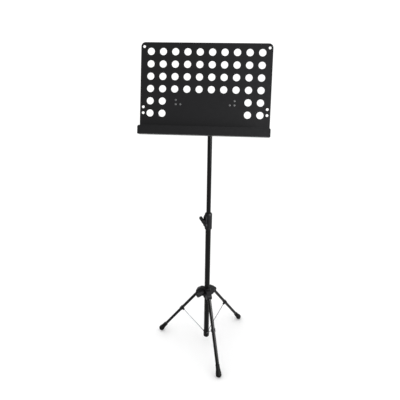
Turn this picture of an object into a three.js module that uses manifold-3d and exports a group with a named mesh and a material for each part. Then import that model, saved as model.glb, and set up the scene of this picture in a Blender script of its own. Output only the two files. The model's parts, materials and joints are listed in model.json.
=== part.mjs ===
// Orchestra music stand: a folded, perforated sheet-steel desk that tilts on a telescopic column,
// held up by a folding tripod of oval legs and wire struts.
// Millimetres, +Z up. The desk faces -Y, and the column stands on the Z axis while it is built.

import * as THREE from 'three';
import { mergeVertices } from 'three/addons/utils/BufferGeometryUtils.js';
import Module from 'manifold-3d';

const wasm = await Module();
wasm.setup();

// ---------------------------------------------------------------- driving dimensions

const seat = 0.3; // gap between pieces that rest on each other
const slip = 0.1; // radial gap of a piece pushed into another
const run = 0.25; // radial gap round a pin or screw that turns
const past = 1; // how far a cutting tool passes the face that it cuts

// Sides of round pieces; arc is half the steps of a rounded corner, lobe the steps of one grip lobe.
const facets = { tube: 20, oval: 20, foot: 16, screw: 8, hole: 12, smallHole: 8, arc: 2, lobe: 4 };

const upperTube = { radius: 9.5, wall: 1, engaged: 86 }; // engaged: its length inside the lower tube
const lowerTube = { radius: upperTube.radius + 2.5, wall: 1.2, top: 636 };
const glideBush = { length: 30 };

const desk = {
  width: 480,
  height: 335,
  sheet: 1.2,
  topCorner: 16,
  shelfDepth: 40,
  lipHeight: 31.5,
  lipCorner: 7,
  bendRadius: 2.6,
  standoff: 63.6, // front face of the plate to the tilt pivot
  pivotBelowTop: 184.4,
  besideColumn: upperTube.radius + 8, // the desk's middle lies this far to the left of the column
  lean: THREE.MathUtils.degToRad(17.6),
};

const perforation = {
  diameter: 26,
  fromSide: 37.5, // middle of the outermost holes
  pitchDown: 44.5,
  firstRowBelowTop: 33,
  columns: 10,
  fullRows: 4,
  sideRows: 2,
  sideColumns: 2, // holes at each end of a side row
};

const edgeHole = {
  diameter: 10,
  fromSide: 12,
  belowTop: [16, 233.5, 255],
};

const rivet = {
  shank: 2,
  head: 4,
  headHeight: 1.6,
  outerFromMiddle: 108,
  innerFromMiddle: 91,
  upperBelowPivot: 21.6,
  lowerBelowPivot: 37.1,
};

const crossbar = {
  length: 236,
  height: 46,
  sheet: 1.5,
  flange: 6,
  middleBelowPivot: 29.1,
};

const tongue = {
  plate: 2.5,
  endRadius: 14,
  footWidth: 36,
  footHeight: 32,
  screwFromMiddle: 11,
};

const smallScrew = { shank: 2, head: 3.8, headHeight: 2 };

const dome = { crown: 0.6, rim: 0.35 }; // flat crown and rim of a pin's head, as shares of the head

const tilt = {
  height: 1168, // of the pivot above the floor
  boltRadius: 3,
  boltHead: 7,
  boltHeadHeight: 3,
  washerRadius: 11,
  washerThickness: 1.6,
};

const head = {
  socketRadius: upperTube.radius + 3,
  barrelRadius: 13,
  edge: 1.5,
  barrelRight: upperTube.radius + 4, // end of the barrel, from the column's axis
  socketDepth: 34,
  tubeBelowPivot: 17,
};

const tiltKnob = { radius: 17, length: 20, lobes: 6, lobeDepth: 3, nutRadius: 6, nutLength: 9, skin: 4 };

const clamp = {
  radius: lowerTube.radius + 4,
  bottom: lowerTube.top - 27.5,
  top: lowerTube.top + 51,
  chamfer: 5,
  chamferInset: 3,
  roof: 5, // solid ring above the liner
  linerStep: 0.7, // the liner is this much slimmer than the lower tube
  bossHalfWidth: 9,
  bossReach: lowerTube.radius + 8.5,
  bossBottom: lowerTube.top - 8,
  bossTop: lowerTube.top + 46,
  bossSlope: 12,
  screwHeight: lowerTube.top + 16,
  heading: THREE.MathUtils.degToRad(-140),
};

const wing = {
  halfSpan: 28,
  tipRadius: 8.5,
  thickness: 9,
  hubRadius: 8,
  hubLength: 11,
  skin: 3, // solid end over the screw
  shank: 3,
  turn: THREE.MathUtils.degToRad(60),
};

const nut = { radius: 6, length: 4, fromCollar: 1.4 }; // hexagon captive in a clamp or hub boss

const leg = {
  count: 3,
  frontHeading: THREE.MathUtils.degToRad(-72.6),
  halfWidth: 8, // across the leg's swing
  halfDepth: 6.75,
  wall: 1.1,
  plugCollar: 10,
  plugSpigot: 22,
  footReach: 236, // ball of the foot from the column's axis
  cheekGap: 0.5,
};

const hub = {
  collarRadius: lowerTube.radius + 5,
  pivotRadius: lowerTube.radius + 26,
  pivotHeight: 282,
  belowPivot: 28, // the collar's reach below the leg pivots
  abovePivot: 26,
  chamfer: 3,
  cheek: 3, // wall on each side of a leg channel
  lobeRadius: leg.halfDepth + 7.25,
  channelRoom: 0.6, // between a leg's end and its channel
  web: 9, // the channels end this far inside the pivots
  lobeDrop: 20, // lower edge of the lobes below the pivots
  pinRadius: 2.5,
  pinHead: 4.4,
  pinHeadHeight: 1.6,
  bossRadius: 9,
  bossReach: lowerTube.radius + 18,
  lockAbovePivot: 7,
  lockFromFrontLeg: THREE.MathUtils.degToRad(-60),
  shoeRadius: 5,
  shoeThickness: 1.6,
  shoeToNut: 2,
};

const lockKnob = { radius: 10, length: 31, lobes: 6, lobeDepth: 1.8, shank: 3, skin: 6 };

const foot = {
  ball: leg.halfWidth + 5,
  neck: leg.halfWidth + 1.8,
  length: 42,
  soleCut: 1,
  socketDepth: 32,
  tubeInset: 10.5,
  rimHeight: 2,
  rimInset: 1,
};

const clip = {
  station: 148, // along the leg from its pivot
  pivotOffset: leg.halfDepth + 6.25,
  length: 14,
  band: 2,
  ear: 1.6,
  earRadius: 3.4,
};

const strut = {
  wire: 1.5,
  eye: 3.2,
  pin: 1.25,
  pinHead: 2.4,
  pinHeadHeight: 1,
  footRadius: lowerTube.radius + 1.5, // lower pivot from the column's axis
  footHeight: 52,
};

const spreader = {
  radius: lowerTube.radius + 1.6,
  core: lowerTube.radius - 4,
  slotWidth: 2 * strut.wire + 1,
  shoulder: 2,
  bottom: 33,
  top: 62,
  plugLength: 26,
};

const tip = {
  height: 11,
  domed: 0.8, // share of its height
  screwRadius: 2,
  screwLength: 16,
  screwInTip: 3,
};

// ---------------------------------------------------------------- shared values

const X = new THREE.Vector3(1, 0, 0);
const Y = new THREE.Vector3(0, 1, 0);
const Z = new THREE.Vector3(0, 0, 1);
const quarter = Math.PI / 2;

const perforationPitch = (desk.width - 2 * perforation.fromSide) / (perforation.columns - 1);
const upperTubeBottom = lowerTube.top - upperTube.engaged;
const hubBottom = hub.pivotHeight - hub.belowPivot;
const hubTop = hub.pivotHeight + hub.abovePivot;
const lockHeight = hub.pivotHeight + hub.lockAbovePivot;
const lobeWeb = hub.pivotRadius - hub.web;
const channelWidth = 2 * (leg.halfWidth + leg.cheekGap);
const lobeWidth = channelWidth + 2 * hub.cheek;
const ballHeight = foot.ball - foot.soleCut;
const legRun = leg.footReach - hub.pivotRadius;
const legRise = hub.pivotHeight - ballHeight;
const legLength = Math.hypot(legRun, legRise);
const legAngle = Math.atan2(legRun, legRise);

const strutTop = {
  radius: hub.pivotRadius + clip.station * Math.sin(legAngle) - clip.pivotOffset * Math.cos(legAngle),
  height: hub.pivotHeight - clip.station * Math.cos(legAngle) - clip.pivotOffset * Math.sin(legAngle),
};
const strutRun = strutTop.radius - strut.footRadius;
const strutRise = strutTop.height - strut.footHeight;
const strutLength = Math.hypot(strutRun, strutRise);
const strutAngle = Math.atan2(strutRun, strutRise);

const plateBack = desk.sheet - desk.standoff; // y of the plate's rear face, from the pivot
const barFront = plateBack + seat;
const barBack = barFront + crossbar.sheet;
const tongueFront = barBack + seat;
const barrelLeft = tongue.plate / 2 + seat + tilt.washerThickness + seat - desk.besideColumn;
const tubeTop = tilt.height - head.tubeBelowPivot;
const headScrewDrop = -(head.socketDepth + head.tubeBelowPivot) / 2;
const linerBottom = lowerTube.top + seat;
const linerTop = clamp.top - clamp.roof - seat;
const linerRadius = lowerTube.radius - clamp.linerStep;
const hubBore = lowerTube.radius + run + slip;

const colours = {
  paintedSteel: [0x1f1f20, 0.42, 0.3],
  tubeSteel: [0x1e1e1f, 0.34, 0.35],
  nylon: [0x1b1b1c, 0.55, 0.0],
  rubber: [0x181818, 0.8, 0.0],
  zinc: [0x8d8f92, 0.35, 0.9],
  wire: [0x6d6f72, 0.4, 0.8],
  acetal: [0xd8d6cf, 0.5, 0.0],
};

// ---------------------------------------------------------------- solids from three.js geometry

// A closed three.js geometry as a solid that can be joined and cut.
function solid(geometry) {
  const bare = geometry.clone();
  bare.deleteAttribute('normal');
  bare.deleteAttribute('uv');
  const merged = mergeVertices(bare, 1e-4);
  const index = merged.index.array;
  const triVerts = [];
  for (let i = 0; i < index.length; i += 3) {
    const [a, b, c] = [index[i], index[i + 1], index[i + 2]];
    if (a !== b && b !== c && c !== a) triVerts.push(a, b, c);
  }
  return new wasm.Manifold(
    new wasm.Mesh({
      numProp: 3,
      vertProperties: Float32Array.from(merged.attributes.position.array),
      triVerts: Uint32Array.from(triVerts),
    }),
  );
}

function geometryOf(shape) {
  const { vertProperties, triVerts } = shape.getMesh();
  const geometry = new THREE.BufferGeometry();
  geometry.setAttribute('position', new THREE.BufferAttribute(vertProperties, 3));
  geometry.setIndex(new THREE.BufferAttribute(triVerts, 1));
  geometry.computeVertexNormals();
  return geometry;
}

function joined(...shapes) {
  return shapes.reduce((sum, shape) => sum.add(shape));
}

function cut(shape, ...tools) {
  return tools.reduce((rest, tool) => rest.subtract(tool), shape);
}

// Cylinder along +Z between two heights.
function rodGeometry(radius, low, high, sides) {
  const geometry = new THREE.CylinderGeometry(radius, radius, high - low, sides);
  return geometry.rotateX(quarter).translate(0, 0, (low + high) / 2);
}

// Tubular ring along +Z.
function ringGeometry(inner, outer, low, high, sides) {
  return turnedGeometry(
    [
      [inner, low],
      [outer, low],
      [outer, high],
      [inner, high],
      [inner, low],
    ],
    sides,
  );
}

// Body of revolution round +Z from [radius, height] points, listed upwards along the outside.
function turnedGeometry(profile, sides) {
  const points = profile.map(([radius, height]) => new THREE.Vector2(radius, height));
  return new THREE.LatheGeometry(points, sides).rotateX(quarter);
}

function boxGeometry(low, high) {
  const size = high.map((value, axis) => value - low[axis]);
  const middle = high.map((value, axis) => (value + low[axis]) / 2);
  return new THREE.BoxGeometry(...size).translate(...middle);
}

function extruded(shape, depth, curveSegments = facets.arc) {
  return new THREE.ExtrudeGeometry(shape, { depth, bevelEnabled: false, curveSegments });
}

// Outline drawn in (y, z), pushed across the object along x, centred on x = 0.
function across(shape, width, curveSegments) {
  const turn = new THREE.Matrix4().makeBasis(Y, Z, X);
  return extruded(shape, width, curveSegments).applyMatrix4(turn).translate(-width / 2, 0, 0);
}

// Outline drawn in (x, z), pushed along y, centred on y = 0.
function through(shape, width, curveSegments) {
  const turn = new THREE.Matrix4().makeBasis(X, Z, Y.clone().negate());
  return extruded(shape, width, curveSegments).applyMatrix4(turn).translate(0, width / 2, 0);
}

function outline(points) {
  return new THREE.Shape(points.map(([a, b]) => new THREE.Vector2(a, b)));
}

function ellipse(halfX, halfY) {
  return new THREE.Shape().absellipse(0, 0, halfX, halfY, 0, 2 * Math.PI, false, 0);
}

// Oval column along -Z between two depths below the origin.
function ovalColumn(halfX, halfY, upper, lower) {
  return solid(extruded(ellipse(halfX, halfY), lower - upper, facets.oval / 2).translate(0, 0, -lower));
}

// Rod along X (or Y) as a solid, for bores and bolts.
function rodAlongX(radius, low, high, sides) {
  return solid(rodGeometry(radius, low, high, sides).rotateY(quarter));
}

function rodAlongY(radius, low, high, sides) {
  return solid(rodGeometry(radius, low, high, sides).rotateX(-quarter));
}

// Rod along +Z with a domed head at each end that is given a height.
function headedPin(shank, low, high, headRadius, lowHead, highHead, sides = facets.screw) {
  const crown = headRadius * dome.crown;
  const profile = [[0, low - lowHead]];
  if (lowHead > 0) {
    profile.push([crown, low - lowHead], [headRadius, low - lowHead * dome.rim], [headRadius, low]);
  }
  profile.push([shank, low], [shank, high]);
  if (highHead > 0) {
    profile.push([headRadius, high], [headRadius, high + highHead * dome.rim], [crown, high + highHead]);
  }
  profile.push([0, high + highHead]);
  return turnedGeometry(profile, sides);
}

// Hexagon nut along +Z from height 0.
function hexNut(bore) {
  return cut(
    solid(rodGeometry(nut.radius, 0, nut.length, 6)),
    solid(rodGeometry(bore, -past, nut.length + past, facets.screw)),
  );
}

// Round grip with shallow flutes, along +Z from height 0, with a small chamfer at both ends.
function flutedGrip(radius, length, lobes, lobeDepth) {
  const edge = 1.5;
  const sides = lobes * facets.lobe;
  const flutedOutline = (inset) => {
    const points = [];
    for (let i = 0; i < sides; i += 1) {
      const angle = (2 * Math.PI * i) / sides;
      const reach = radius - inset - (lobeDepth * (1 - Math.cos(lobes * angle))) / 2;
      points.push([reach * Math.cos(angle), reach * Math.sin(angle)]);
    }
    return outline(points);
  };
  const core = solid(extruded(flutedOutline(0), length - 2 * edge).translate(0, 0, edge));
  const full = solid(extruded(flutedOutline(edge), length));
  return joined(core, full);
}

// ---------------------------------------------------------------- scene graph helpers

function mesh(name, shape, [color, roughness, metalness]) {
  const geometry = shape.isBufferGeometry ? shape : geometryOf(shape);
  const material = new THREE.MeshStandardMaterial({ color, roughness, metalness });
  const piece = new THREE.Mesh(geometry, material);
  piece.name = name;
  return piece;
}

function groupOf(...children) {
  return new THREE.Group().add(...children);
}

// Group whose +Z points away from the column in the given heading, at the given height.
function aimedGroup(heading, height, ...children) {
  const aim = groupOf(...children);
  aim.rotation.y = quarter;
  const turn = groupOf(aim);
  turn.rotation.z = heading;
  turn.position.z = height;
  return turn;
}

// ---------------------------------------------------------------- desk

// One folded sheet seen from its side: plate, shelf and upturned lip.
function deskProfile() {
  const front = -desk.standoff;
  const back = plateBack;
  const top = desk.pivotBelowTop;
  const floor = top - desk.height;
  const lipFront = front - desk.shelfDepth;
  const lipBack = lipFront + desk.sheet;
  const lipTop = floor + desk.lipHeight;
  const outer = desk.bendRadius;
  const inner = outer - desk.sheet;
  const shape = new THREE.Shape();
  shape.moveTo(back, top);
  shape.lineTo(front, top);
  shape.lineTo(front, floor + outer);
  shape.absarc(front - inner, floor + outer, inner, 0, -quarter, true);
  shape.lineTo(lipBack + inner, floor + desk.sheet);
  shape.absarc(lipBack + inner, floor + outer, inner, -quarter, -Math.PI, true);
  shape.lineTo(lipBack, lipTop);
  shape.lineTo(lipFront, lipTop);
  shape.lineTo(lipFront, floor + outer);
  shape.absarc(lipFront + outer, floor + outer, outer, Math.PI, 1.5 * Math.PI, false);
  shape.lineTo(back - outer, floor);
  shape.absarc(back - outer, floor + outer, outer, -quarter, 0, false);
  shape.closePath();
  return shape;
}

// Tool that rounds an upper corner at (x, z); side is +1 for the right corner.
function cornerTool(side, radius, yMiddle) {
  const spare = 2;
  const shape = new THREE.Shape();
  shape.moveTo(side * (desk.width / 2 - radius), desk.pivotBelowTop + spare);
  shape.lineTo(side * (desk.width / 2 - radius), desk.pivotBelowTop);
  const turnTo = side > 0 ? 0 : Math.PI;
  shape.absarc(
    side * (desk.width / 2 - radius),
    desk.pivotBelowTop - radius,
    radius,
    quarter,
    turnTo,
    side > 0,
  );
  shape.lineTo(side * (desk.width / 2 + spare), desk.pivotBelowTop - radius);
  shape.lineTo(side * (desk.width / 2 + spare), desk.pivotBelowTop + spare);
  shape.closePath();
  return through(shape, 3 * desk.sheet + 2 * spare, 2 * facets.arc).translate(0, yMiddle, 0);
}

function rivetPlaces() {
  const places = [];
  for (const side of [-1, 1]) {
    places.push([side * rivet.outerFromMiddle, -rivet.upperBelowPivot]);
    places.push([side * rivet.outerFromMiddle, -rivet.lowerBelowPivot]);
    places.push([side * rivet.innerFromMiddle, -rivet.lowerBelowPivot]);
  }
  return places;
}

function perforationPlaces() {
  const places = [];
  const middle = (perforation.columns - 1) / 2;
  for (let row = 0; row < perforation.fullRows + perforation.sideRows; row += 1) {
    const z = desk.pivotBelowTop - perforation.firstRowBelowTop - row * perforation.pitchDown;
    for (let column = 0; column < perforation.columns; column += 1) {
      const fromSide = Math.min(column, perforation.columns - 1 - column);
      if (row < perforation.fullRows || fromSide < perforation.sideColumns) {
        places.push([(column - middle) * perforationPitch, z]);
      }
    }
  }
  return places;
}

function deskHoles() {
  const y0 = -desk.standoff - desk.sheet;
  const y1 = plateBack + desk.sheet;
  const hole = (radius, [x, z], sides) =>
    solid(rodGeometry(radius, y0, y1, sides).rotateX(-quarter).translate(x, 0, z));
  const holes = perforationPlaces().map((place) => hole(perforation.diameter / 2, place, facets.hole));
  for (const side of [-1, 1]) {
    for (const below of edgeHole.belowTop) {
      const place = [side * (desk.width / 2 - edgeHole.fromSide), desk.pivotBelowTop - below];
      holes.push(hole(edgeHole.diameter / 2, place, facets.smallHole));
    }
  }
  for (const place of rivetPlaces()) {
    holes.push(hole(rivet.shank + slip, place, facets.screw));
  }
  return holes;
}

function deskPlate() {
  const sheet = solid(across(deskProfile(), desk.width));
  const lipDrop = desk.height - desk.lipHeight; // the lip's top edge below the plate's
  const plateMiddle = (plateBack - desk.standoff) / 2;
  const lipMiddle = desk.sheet / 2 - desk.standoff - desk.shelfDepth;
  const tools = [];
  for (const side of [-1, 1]) {
    tools.push(solid(cornerTool(side, desk.topCorner, plateMiddle)));
    tools.push(solid(cornerTool(side, desk.lipCorner, lipMiddle).translate(0, 0, -lipDrop)));
  }
  return cut(sheet, ...tools, ...deskHoles());
}

// Shallow steel channel behind the plate.
function deskCrossbar() {
  const half = crossbar.height / 2;
  const tail = barBack + crossbar.flange;
  const shape = outline([
    [barFront, -half],
    [tail, -half],
    [tail, crossbar.sheet - half],
    [barBack, crossbar.sheet - half],
    [barBack, half - crossbar.sheet],
    [tail, half - crossbar.sheet],
    [tail, half],
    [barFront, half],
  ]);
  const channel = solid(across(shape, crossbar.length).translate(0, 0, -crossbar.middleBelowPivot));
  const bores = rivetPlaces().map(([x, z]) =>
    solid(
      rodGeometry(rivet.shank + slip, barFront - past, barBack + past, facets.screw)
        .rotateX(-quarter)
        .translate(x, 0, z),
    ),
  );
  for (const side of [-1, 1]) {
    bores.push(
      solid(
        rodGeometry(smallScrew.shank + slip, barFront - past, barBack + past, facets.screw)
          .rotateX(-quarter)
          .translate(side * tongue.screwFromMiddle, 0, -crossbar.middleBelowPivot),
      ),
    );
  }
  return cut(channel, ...bores);
}

function deskRivet([x, z]) {
  const grip = [-desk.standoff - slip, barBack + slip];
  const body = headedPin(rivet.shank, grip[0], grip[1], rivet.head, rivet.headHeight, rivet.headHeight);
  return body.rotateX(-quarter).translate(x, 0, z);
}

// Foot flange screwed into the crossbar, with the pivot plate standing on it.
function tiltTongue() {
  const footLow = -crossbar.middleBelowPivot - tongue.footHeight / 2;
  const footHigh = footLow + tongue.footHeight;
  const footBack = tongueFront + tongue.plate;
  const flange = solid(
    boxGeometry(
      [-tongue.footWidth / 2, tongueFront, footLow],
      [tongue.footWidth / 2, footBack, footHigh],
    ),
  );
  const webPoints = [
    [tongueFront, footLow],
    [tongueFront, footHigh],
    [-tongue.endRadius * Math.SQRT1_2, tongue.endRadius * Math.SQRT1_2],
    [tongue.endRadius * Math.SQRT1_2, -tongue.endRadius * Math.SQRT1_2],
  ];
  const web = solid(across(outline(webPoints.reverse()), tongue.plate));
  const eye = rodAlongX(tongue.endRadius, -tongue.plate / 2, tongue.plate / 2, facets.tube);
  const bores = [rodAlongX(tilt.boltRadius + slip, -tongue.plate, tongue.plate, facets.screw)];
  for (const side of [-1, 1]) {
    bores.push(
      solid(
        rodGeometry(smallScrew.shank + slip, tongueFront - past, footBack + past, facets.screw)
          .rotateX(-quarter)
          .translate(side * tongue.screwFromMiddle, 0, -crossbar.middleBelowPivot),
      ),
    );
  }
  return cut(joined(flange, web, eye), ...bores);
}

function tongueScrew(side) {
  const headFace = tongueFront + tongue.plate + slip;
  const body = headedPin(smallScrew.shank, barFront, headFace, smallScrew.head, 0, smallScrew.headHeight);
  return body
    .rotateX(-quarter)
    .translate(side * tongue.screwFromMiddle, 0, -crossbar.middleBelowPivot);
}

// Distances along the tilt bolt, from the desk's middle plane towards the right.
const boltFrom = -tongue.plate / 2 - slip;
const washerFrom = tongue.plate / 2 + seat;
const knobFrom = desk.besideColumn + head.barrelRight + seat;
const boltTo = knobFrom + tiltKnob.length - tiltKnob.skin - 1;

function tiltBolt() {
  const { boltRadius, boltHead, boltHeadHeight } = tilt;
  return headedPin(boltRadius, boltFrom, boltTo, boltHead, boltHeadHeight, 0).rotateY(quarter);
}

function tiltWasher() {
  const high = washerFrom + tilt.washerThickness;
  const bore = tilt.boltRadius + slip;
  return ringGeometry(bore, tilt.washerRadius, washerFrom, high, facets.tube).rotateY(quarter);
}

function deskGroup() {
  const group = groupOf(
    mesh('desk_plate', deskPlate(), colours.paintedSteel),
    mesh('desk_crossbar', deskCrossbar(), colours.paintedSteel),
    mesh('tilt_tongue', tiltTongue(), colours.paintedSteel),
    mesh('tilt_bolt', tiltBolt(), colours.zinc),
    mesh('tilt_washer', tiltWasher(), colours.nylon),
  );
  rivetPlaces().forEach((place, i) => {
    group.add(mesh(`desk_rivet_${i + 1}`, deskRivet(place), colours.paintedSteel));
  });
  [-1, 1].forEach((side, i) => {
    group.add(mesh(`tongue_screw_${i + 1}`, tongueScrew(side), colours.zinc));
  });
  group.position.set(-desk.besideColumn, 0, tilt.height);
  group.rotation.x = -desk.lean;
  return group;
}

// ---------------------------------------------------------------- tilt head and its knob

// Moulded head: a socket over the tube with a barrel across it for the tilt bolt. Origin at the pivot.
function tiltHead() {
  const skirt = head.socketRadius;
  const socket = turnedGeometry(
    [
      [0, -head.socketDepth],
      [skirt - head.edge, -head.socketDepth],
      [skirt, head.edge - head.socketDepth],
      [skirt, 0],
      [0, 0],
    ],
    facets.tube,
  );
  const barrel = rodAlongX(head.barrelRadius, barrelLeft, head.barrelRight, facets.tube);
  const tubeBore = rodGeometry(
    upperTube.radius + slip,
    -head.socketDepth - past,
    seat - head.tubeBelowPivot,
    facets.tube,
  );
  const boltBore = rodAlongX(tilt.boltRadius + run, barrelLeft - past, head.barrelRight + past, facets.hole);
  const screwBore = rodGeometry(smallScrew.shank + slip, 0, skirt + past, facets.screw)
    .rotateX(-quarter)
    .translate(0, 0, headScrewDrop);
  return cut(joined(solid(socket), barrel), solid(tubeBore), boltBore, solid(screwBore));
}

function headScrew() {
  const { shank, head: headRadius, headHeight } = smallScrew;
  const face = head.socketRadius + slip;
  return headedPin(shank, upperTube.radius + slip, face, headRadius, 0, headHeight)
    .rotateX(-quarter)
    .translate(0, 0, headScrewDrop);
}

function tiltKnobGrip() {
  const grip = flutedGrip(tiltKnob.radius, tiltKnob.length, tiltKnob.lobes, tiltKnob.lobeDepth);
  const depth = tiltKnob.length - tiltKnob.skin;
  const bore = rodGeometry(tilt.boltRadius + run, -past, depth, facets.hole);
  const pocket = rodGeometry(tiltKnob.nutRadius + slip, -past, tiltKnob.nutLength + slip, 6);
  return geometryOf(cut(grip, solid(bore), solid(pocket)))
    .rotateY(quarter)
    .translate(head.barrelRight + seat, 0, 0);
}

function tiltKnobNut() {
  const blank = solid(rodGeometry(tiltKnob.nutRadius, slip, tiltKnob.nutLength, 6));
  const end = tiltKnob.nutLength + past;
  const bore = solid(rodGeometry(tilt.boltRadius + run, -past, end, facets.hole));
  return geometryOf(cut(blank, bore))
    .rotateY(quarter)
    .translate(head.barrelRight + seat, 0, 0);
}

function headGroup() {
  const group = groupOf(
    mesh('tilt_head', tiltHead(), colours.nylon),
    mesh('head_screw', headScrew(), colours.zinc),
    mesh('tilt_knob', tiltKnobGrip(), colours.nylon),
    mesh('tilt_knob_nut', tiltKnobNut(), colours.zinc),
  );
  group.position.z = tilt.height;
  return group;
}

// ---------------------------------------------------------------- column and height clamp

function tubePiece({ radius, wall }, low, high) {
  return ringGeometry(radius - wall, radius, low, high, facets.tube);
}

// Bush round the upper tube's lower end, guiding it inside the lower tube.
function glideBushPiece() {
  const outer = lowerTube.radius - lowerTube.wall - run;
  const inner = upperTube.radius + run;
  const low = upperTubeBottom;
  return ringGeometry(inner, outer, low, low + glideBush.length, facets.tube);
}

// Clamp casing on top of the lower tube, with a rib on one side for the wing screw.
function clampBody() {
  const { radius, bottom, top, chamfer, chamferInset } = clamp;
  const casing = turnedGeometry(
    [
      [0, bottom],
      [radius - chamferInset, bottom],
      [radius, bottom + chamfer],
      [radius, top - chamfer],
      [radius - chamferInset, top],
      [0, top],
    ],
    facets.tube,
  );
  const rib = outline([
    [0, clamp.bossBottom - clamp.bossSlope / 2],
    [radius - 2, clamp.bossBottom - clamp.bossSlope / 2],
    [clamp.bossReach, clamp.bossBottom],
    [clamp.bossReach, clamp.bossTop - clamp.bossSlope],
    [radius - 4, clamp.bossTop],
    [0, clamp.bossTop],
  ]);
  const boss = solid(through(rib, 2 * clamp.bossHalfWidth));
  const tools = [
    solid(rodGeometry(lowerTube.radius + run, bottom - past, linerBottom, facets.tube)),
    solid(rodGeometry(linerRadius + run, bottom, linerTop + seat, facets.tube)),
    solid(rodGeometry(upperTube.radius + run, bottom, top + past, facets.tube)),
    solid(
      rodGeometry(wing.shank + run, 0, clamp.bossReach + past, facets.hole)
        .rotateY(quarter)
        .translate(0, 0, clamp.screwHeight),
    ),
    solid(
      rodGeometry(nut.radius + slip, linerRadius + nut.fromCollar, nutEnd(linerRadius) + slip, 6)
        .rotateY(quarter)
        .translate(0, 0, clamp.screwHeight),
    ),
  ];
  return cut(joined(solid(casing), boss), ...tools);
}

// Outer end of a captive nut whose pocket starts just outside the given radius.
function nutEnd(fromRadius) {
  return fromRadius + nut.fromCollar + slip + nut.length;
}

function captiveNut(fromRadius, bore) {
  return geometryOf(hexNut(bore)).translate(0, 0, fromRadius + nut.fromCollar + slip);
}

function clampLiner() {
  return ringGeometry(upperTube.radius + run, linerRadius, linerBottom, linerTop, facets.tube);
}

function wingPiece() {
  const base = clamp.bossReach + seat;
  const tipAt = wing.halfSpan - wing.tipRadius;
  const blade = new THREE.Shape();
  blade.absarc(tipAt, 0, wing.tipRadius, -quarter, quarter, false);
  blade.absarc(-tipAt, 0, wing.tipRadius, quarter, 1.5 * Math.PI, false);
  blade.closePath();
  const wings = extruded(blade, wing.thickness, 2 * facets.arc);
  wings.translate(0, 0, wing.hubLength - wing.thickness);
  const core = rodGeometry(wing.hubRadius, 0, wing.hubLength, facets.hole);
  const bore = rodGeometry(wing.shank + run, -past, wing.hubLength - wing.skin, facets.hole);
  return geometryOf(cut(joined(solid(core), solid(wings)), solid(bore)))
    .rotateZ(wing.turn)
    .translate(0, 0, base);
}

function wingShank() {
  const end = clamp.bossReach + seat + wing.hubLength - wing.skin - slip;
  return rodGeometry(wing.shank, linerRadius + seat, end, facets.screw);
}

function columnGroup() {
  return groupOf(
    mesh('lower_tube', tubePiece(lowerTube, spreader.top + seat, lowerTube.top), colours.tubeSteel),
    mesh('upper_tube', tubePiece(upperTube, upperTubeBottom, tubeTop), colours.tubeSteel),
    mesh('glide_bush', glideBushPiece(), colours.acetal),
    mesh('clamp_liner', clampLiner(), colours.acetal),
    aimedGroup(
      clamp.heading,
      clamp.screwHeight,
      mesh('clamp_nut', captiveNut(linerRadius, wing.shank + run), colours.zinc),
      mesh('height_screw', wingShank(), colours.zinc),
      mesh('height_wing', wingPiece(), colours.nylon),
    ),
  );
}

function clampGroup() {
  const group = groupOf(mesh('height_clamp_body', clampBody(), colours.nylon));
  group.rotation.z = clamp.heading;
  return group;
}

// ---------------------------------------------------------------- column end

// Moulded end piece: a plug in the lower tube and a slotted body that takes the struts' lower eyes.
function columnSpreader() {
  const plug = lowerTube.radius - lowerTube.wall - slip;
  const body = turnedGeometry(
    [
      [0, spreader.bottom],
      [spreader.radius, spreader.bottom],
      [spreader.radius, spreader.top - spreader.shoulder],
      [spreader.radius - spreader.shoulder / 2, spreader.top],
      [plug, spreader.top],
      [plug, spreader.top + spreader.plugLength],
      [0, spreader.top + spreader.plugLength],
    ],
    facets.tube,
  );
  const slots = [];
  for (let i = 0; i < leg.count; i += 1) {
    const slot = boxGeometry(
      [spreader.core, -spreader.slotWidth / 2, spreader.bottom - past],
      [spreader.radius + past, spreader.slotWidth / 2, spreader.top + seat],
    );
    slots.push(solid(slot.rotateZ(legHeading(i))));
  }
  const screwBore = rodGeometry(
    tip.screwRadius + slip,
    spreader.bottom - past,
    spreader.bottom + tip.screwLength,
    facets.screw,
  );
  return cut(solid(body), ...slots, solid(screwBore));
}

// Domed tip under the spreader.
function columnTip() {
  const top = spreader.bottom - seat;
  const bottom = top - tip.height;
  const steps = 3;
  const profile = [[0, bottom]];
  for (let i = 1; i <= steps; i += 1) {
    const angle = (quarter * i) / steps;
    const rise = tip.height * tip.domed * (1 - Math.cos(angle));
    profile.push([spreader.radius * Math.sin(angle), bottom + rise]);
  }
  profile.push([spreader.radius, top], [0, top]);
  const bore = rodGeometry(tip.screwRadius + slip, top - tip.screwInTip, top + past, facets.screw);
  return cut(solid(turnedGeometry(profile, facets.tube)), solid(bore));
}

function tipScrew() {
  const top = spreader.bottom - seat;
  const low = top - tip.screwInTip + slip;
  return rodGeometry(tip.screwRadius, low, spreader.bottom + tip.screwLength - slip, facets.screw);
}

function columnEndGroup() {
  return groupOf(
    mesh('column_spreader', columnSpreader(), colours.nylon),
    mesh('column_tip', columnTip(), colours.nylon),
    mesh('tip_screw', tipScrew(), colours.zinc),
  );
}

// ---------------------------------------------------------------- hub

function legHeading(i) {
  return leg.frontHeading + (2 * Math.PI * i) / leg.count;
}

// Side view of a lobe in (radius, height), rounded about the leg pivot.
function lobeOutline() {
  const { pivotRadius, pivotHeight, lobeRadius, lobeDrop } = hub;
  const shape = new THREE.Shape();
  shape.moveTo(0, pivotHeight - lobeDrop);
  shape.lineTo(lobeWeb, pivotHeight - lobeDrop);
  shape.lineTo(pivotRadius, pivotHeight - lobeRadius);
  shape.absarc(pivotRadius, pivotHeight, lobeRadius, -quarter, quarter * 0.75, false);
  shape.lineTo(lobeWeb, hubTop - hub.chamfer);
  shape.lineTo(0, hubTop - hub.chamfer);
  shape.closePath();
  return shape;
}

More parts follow.
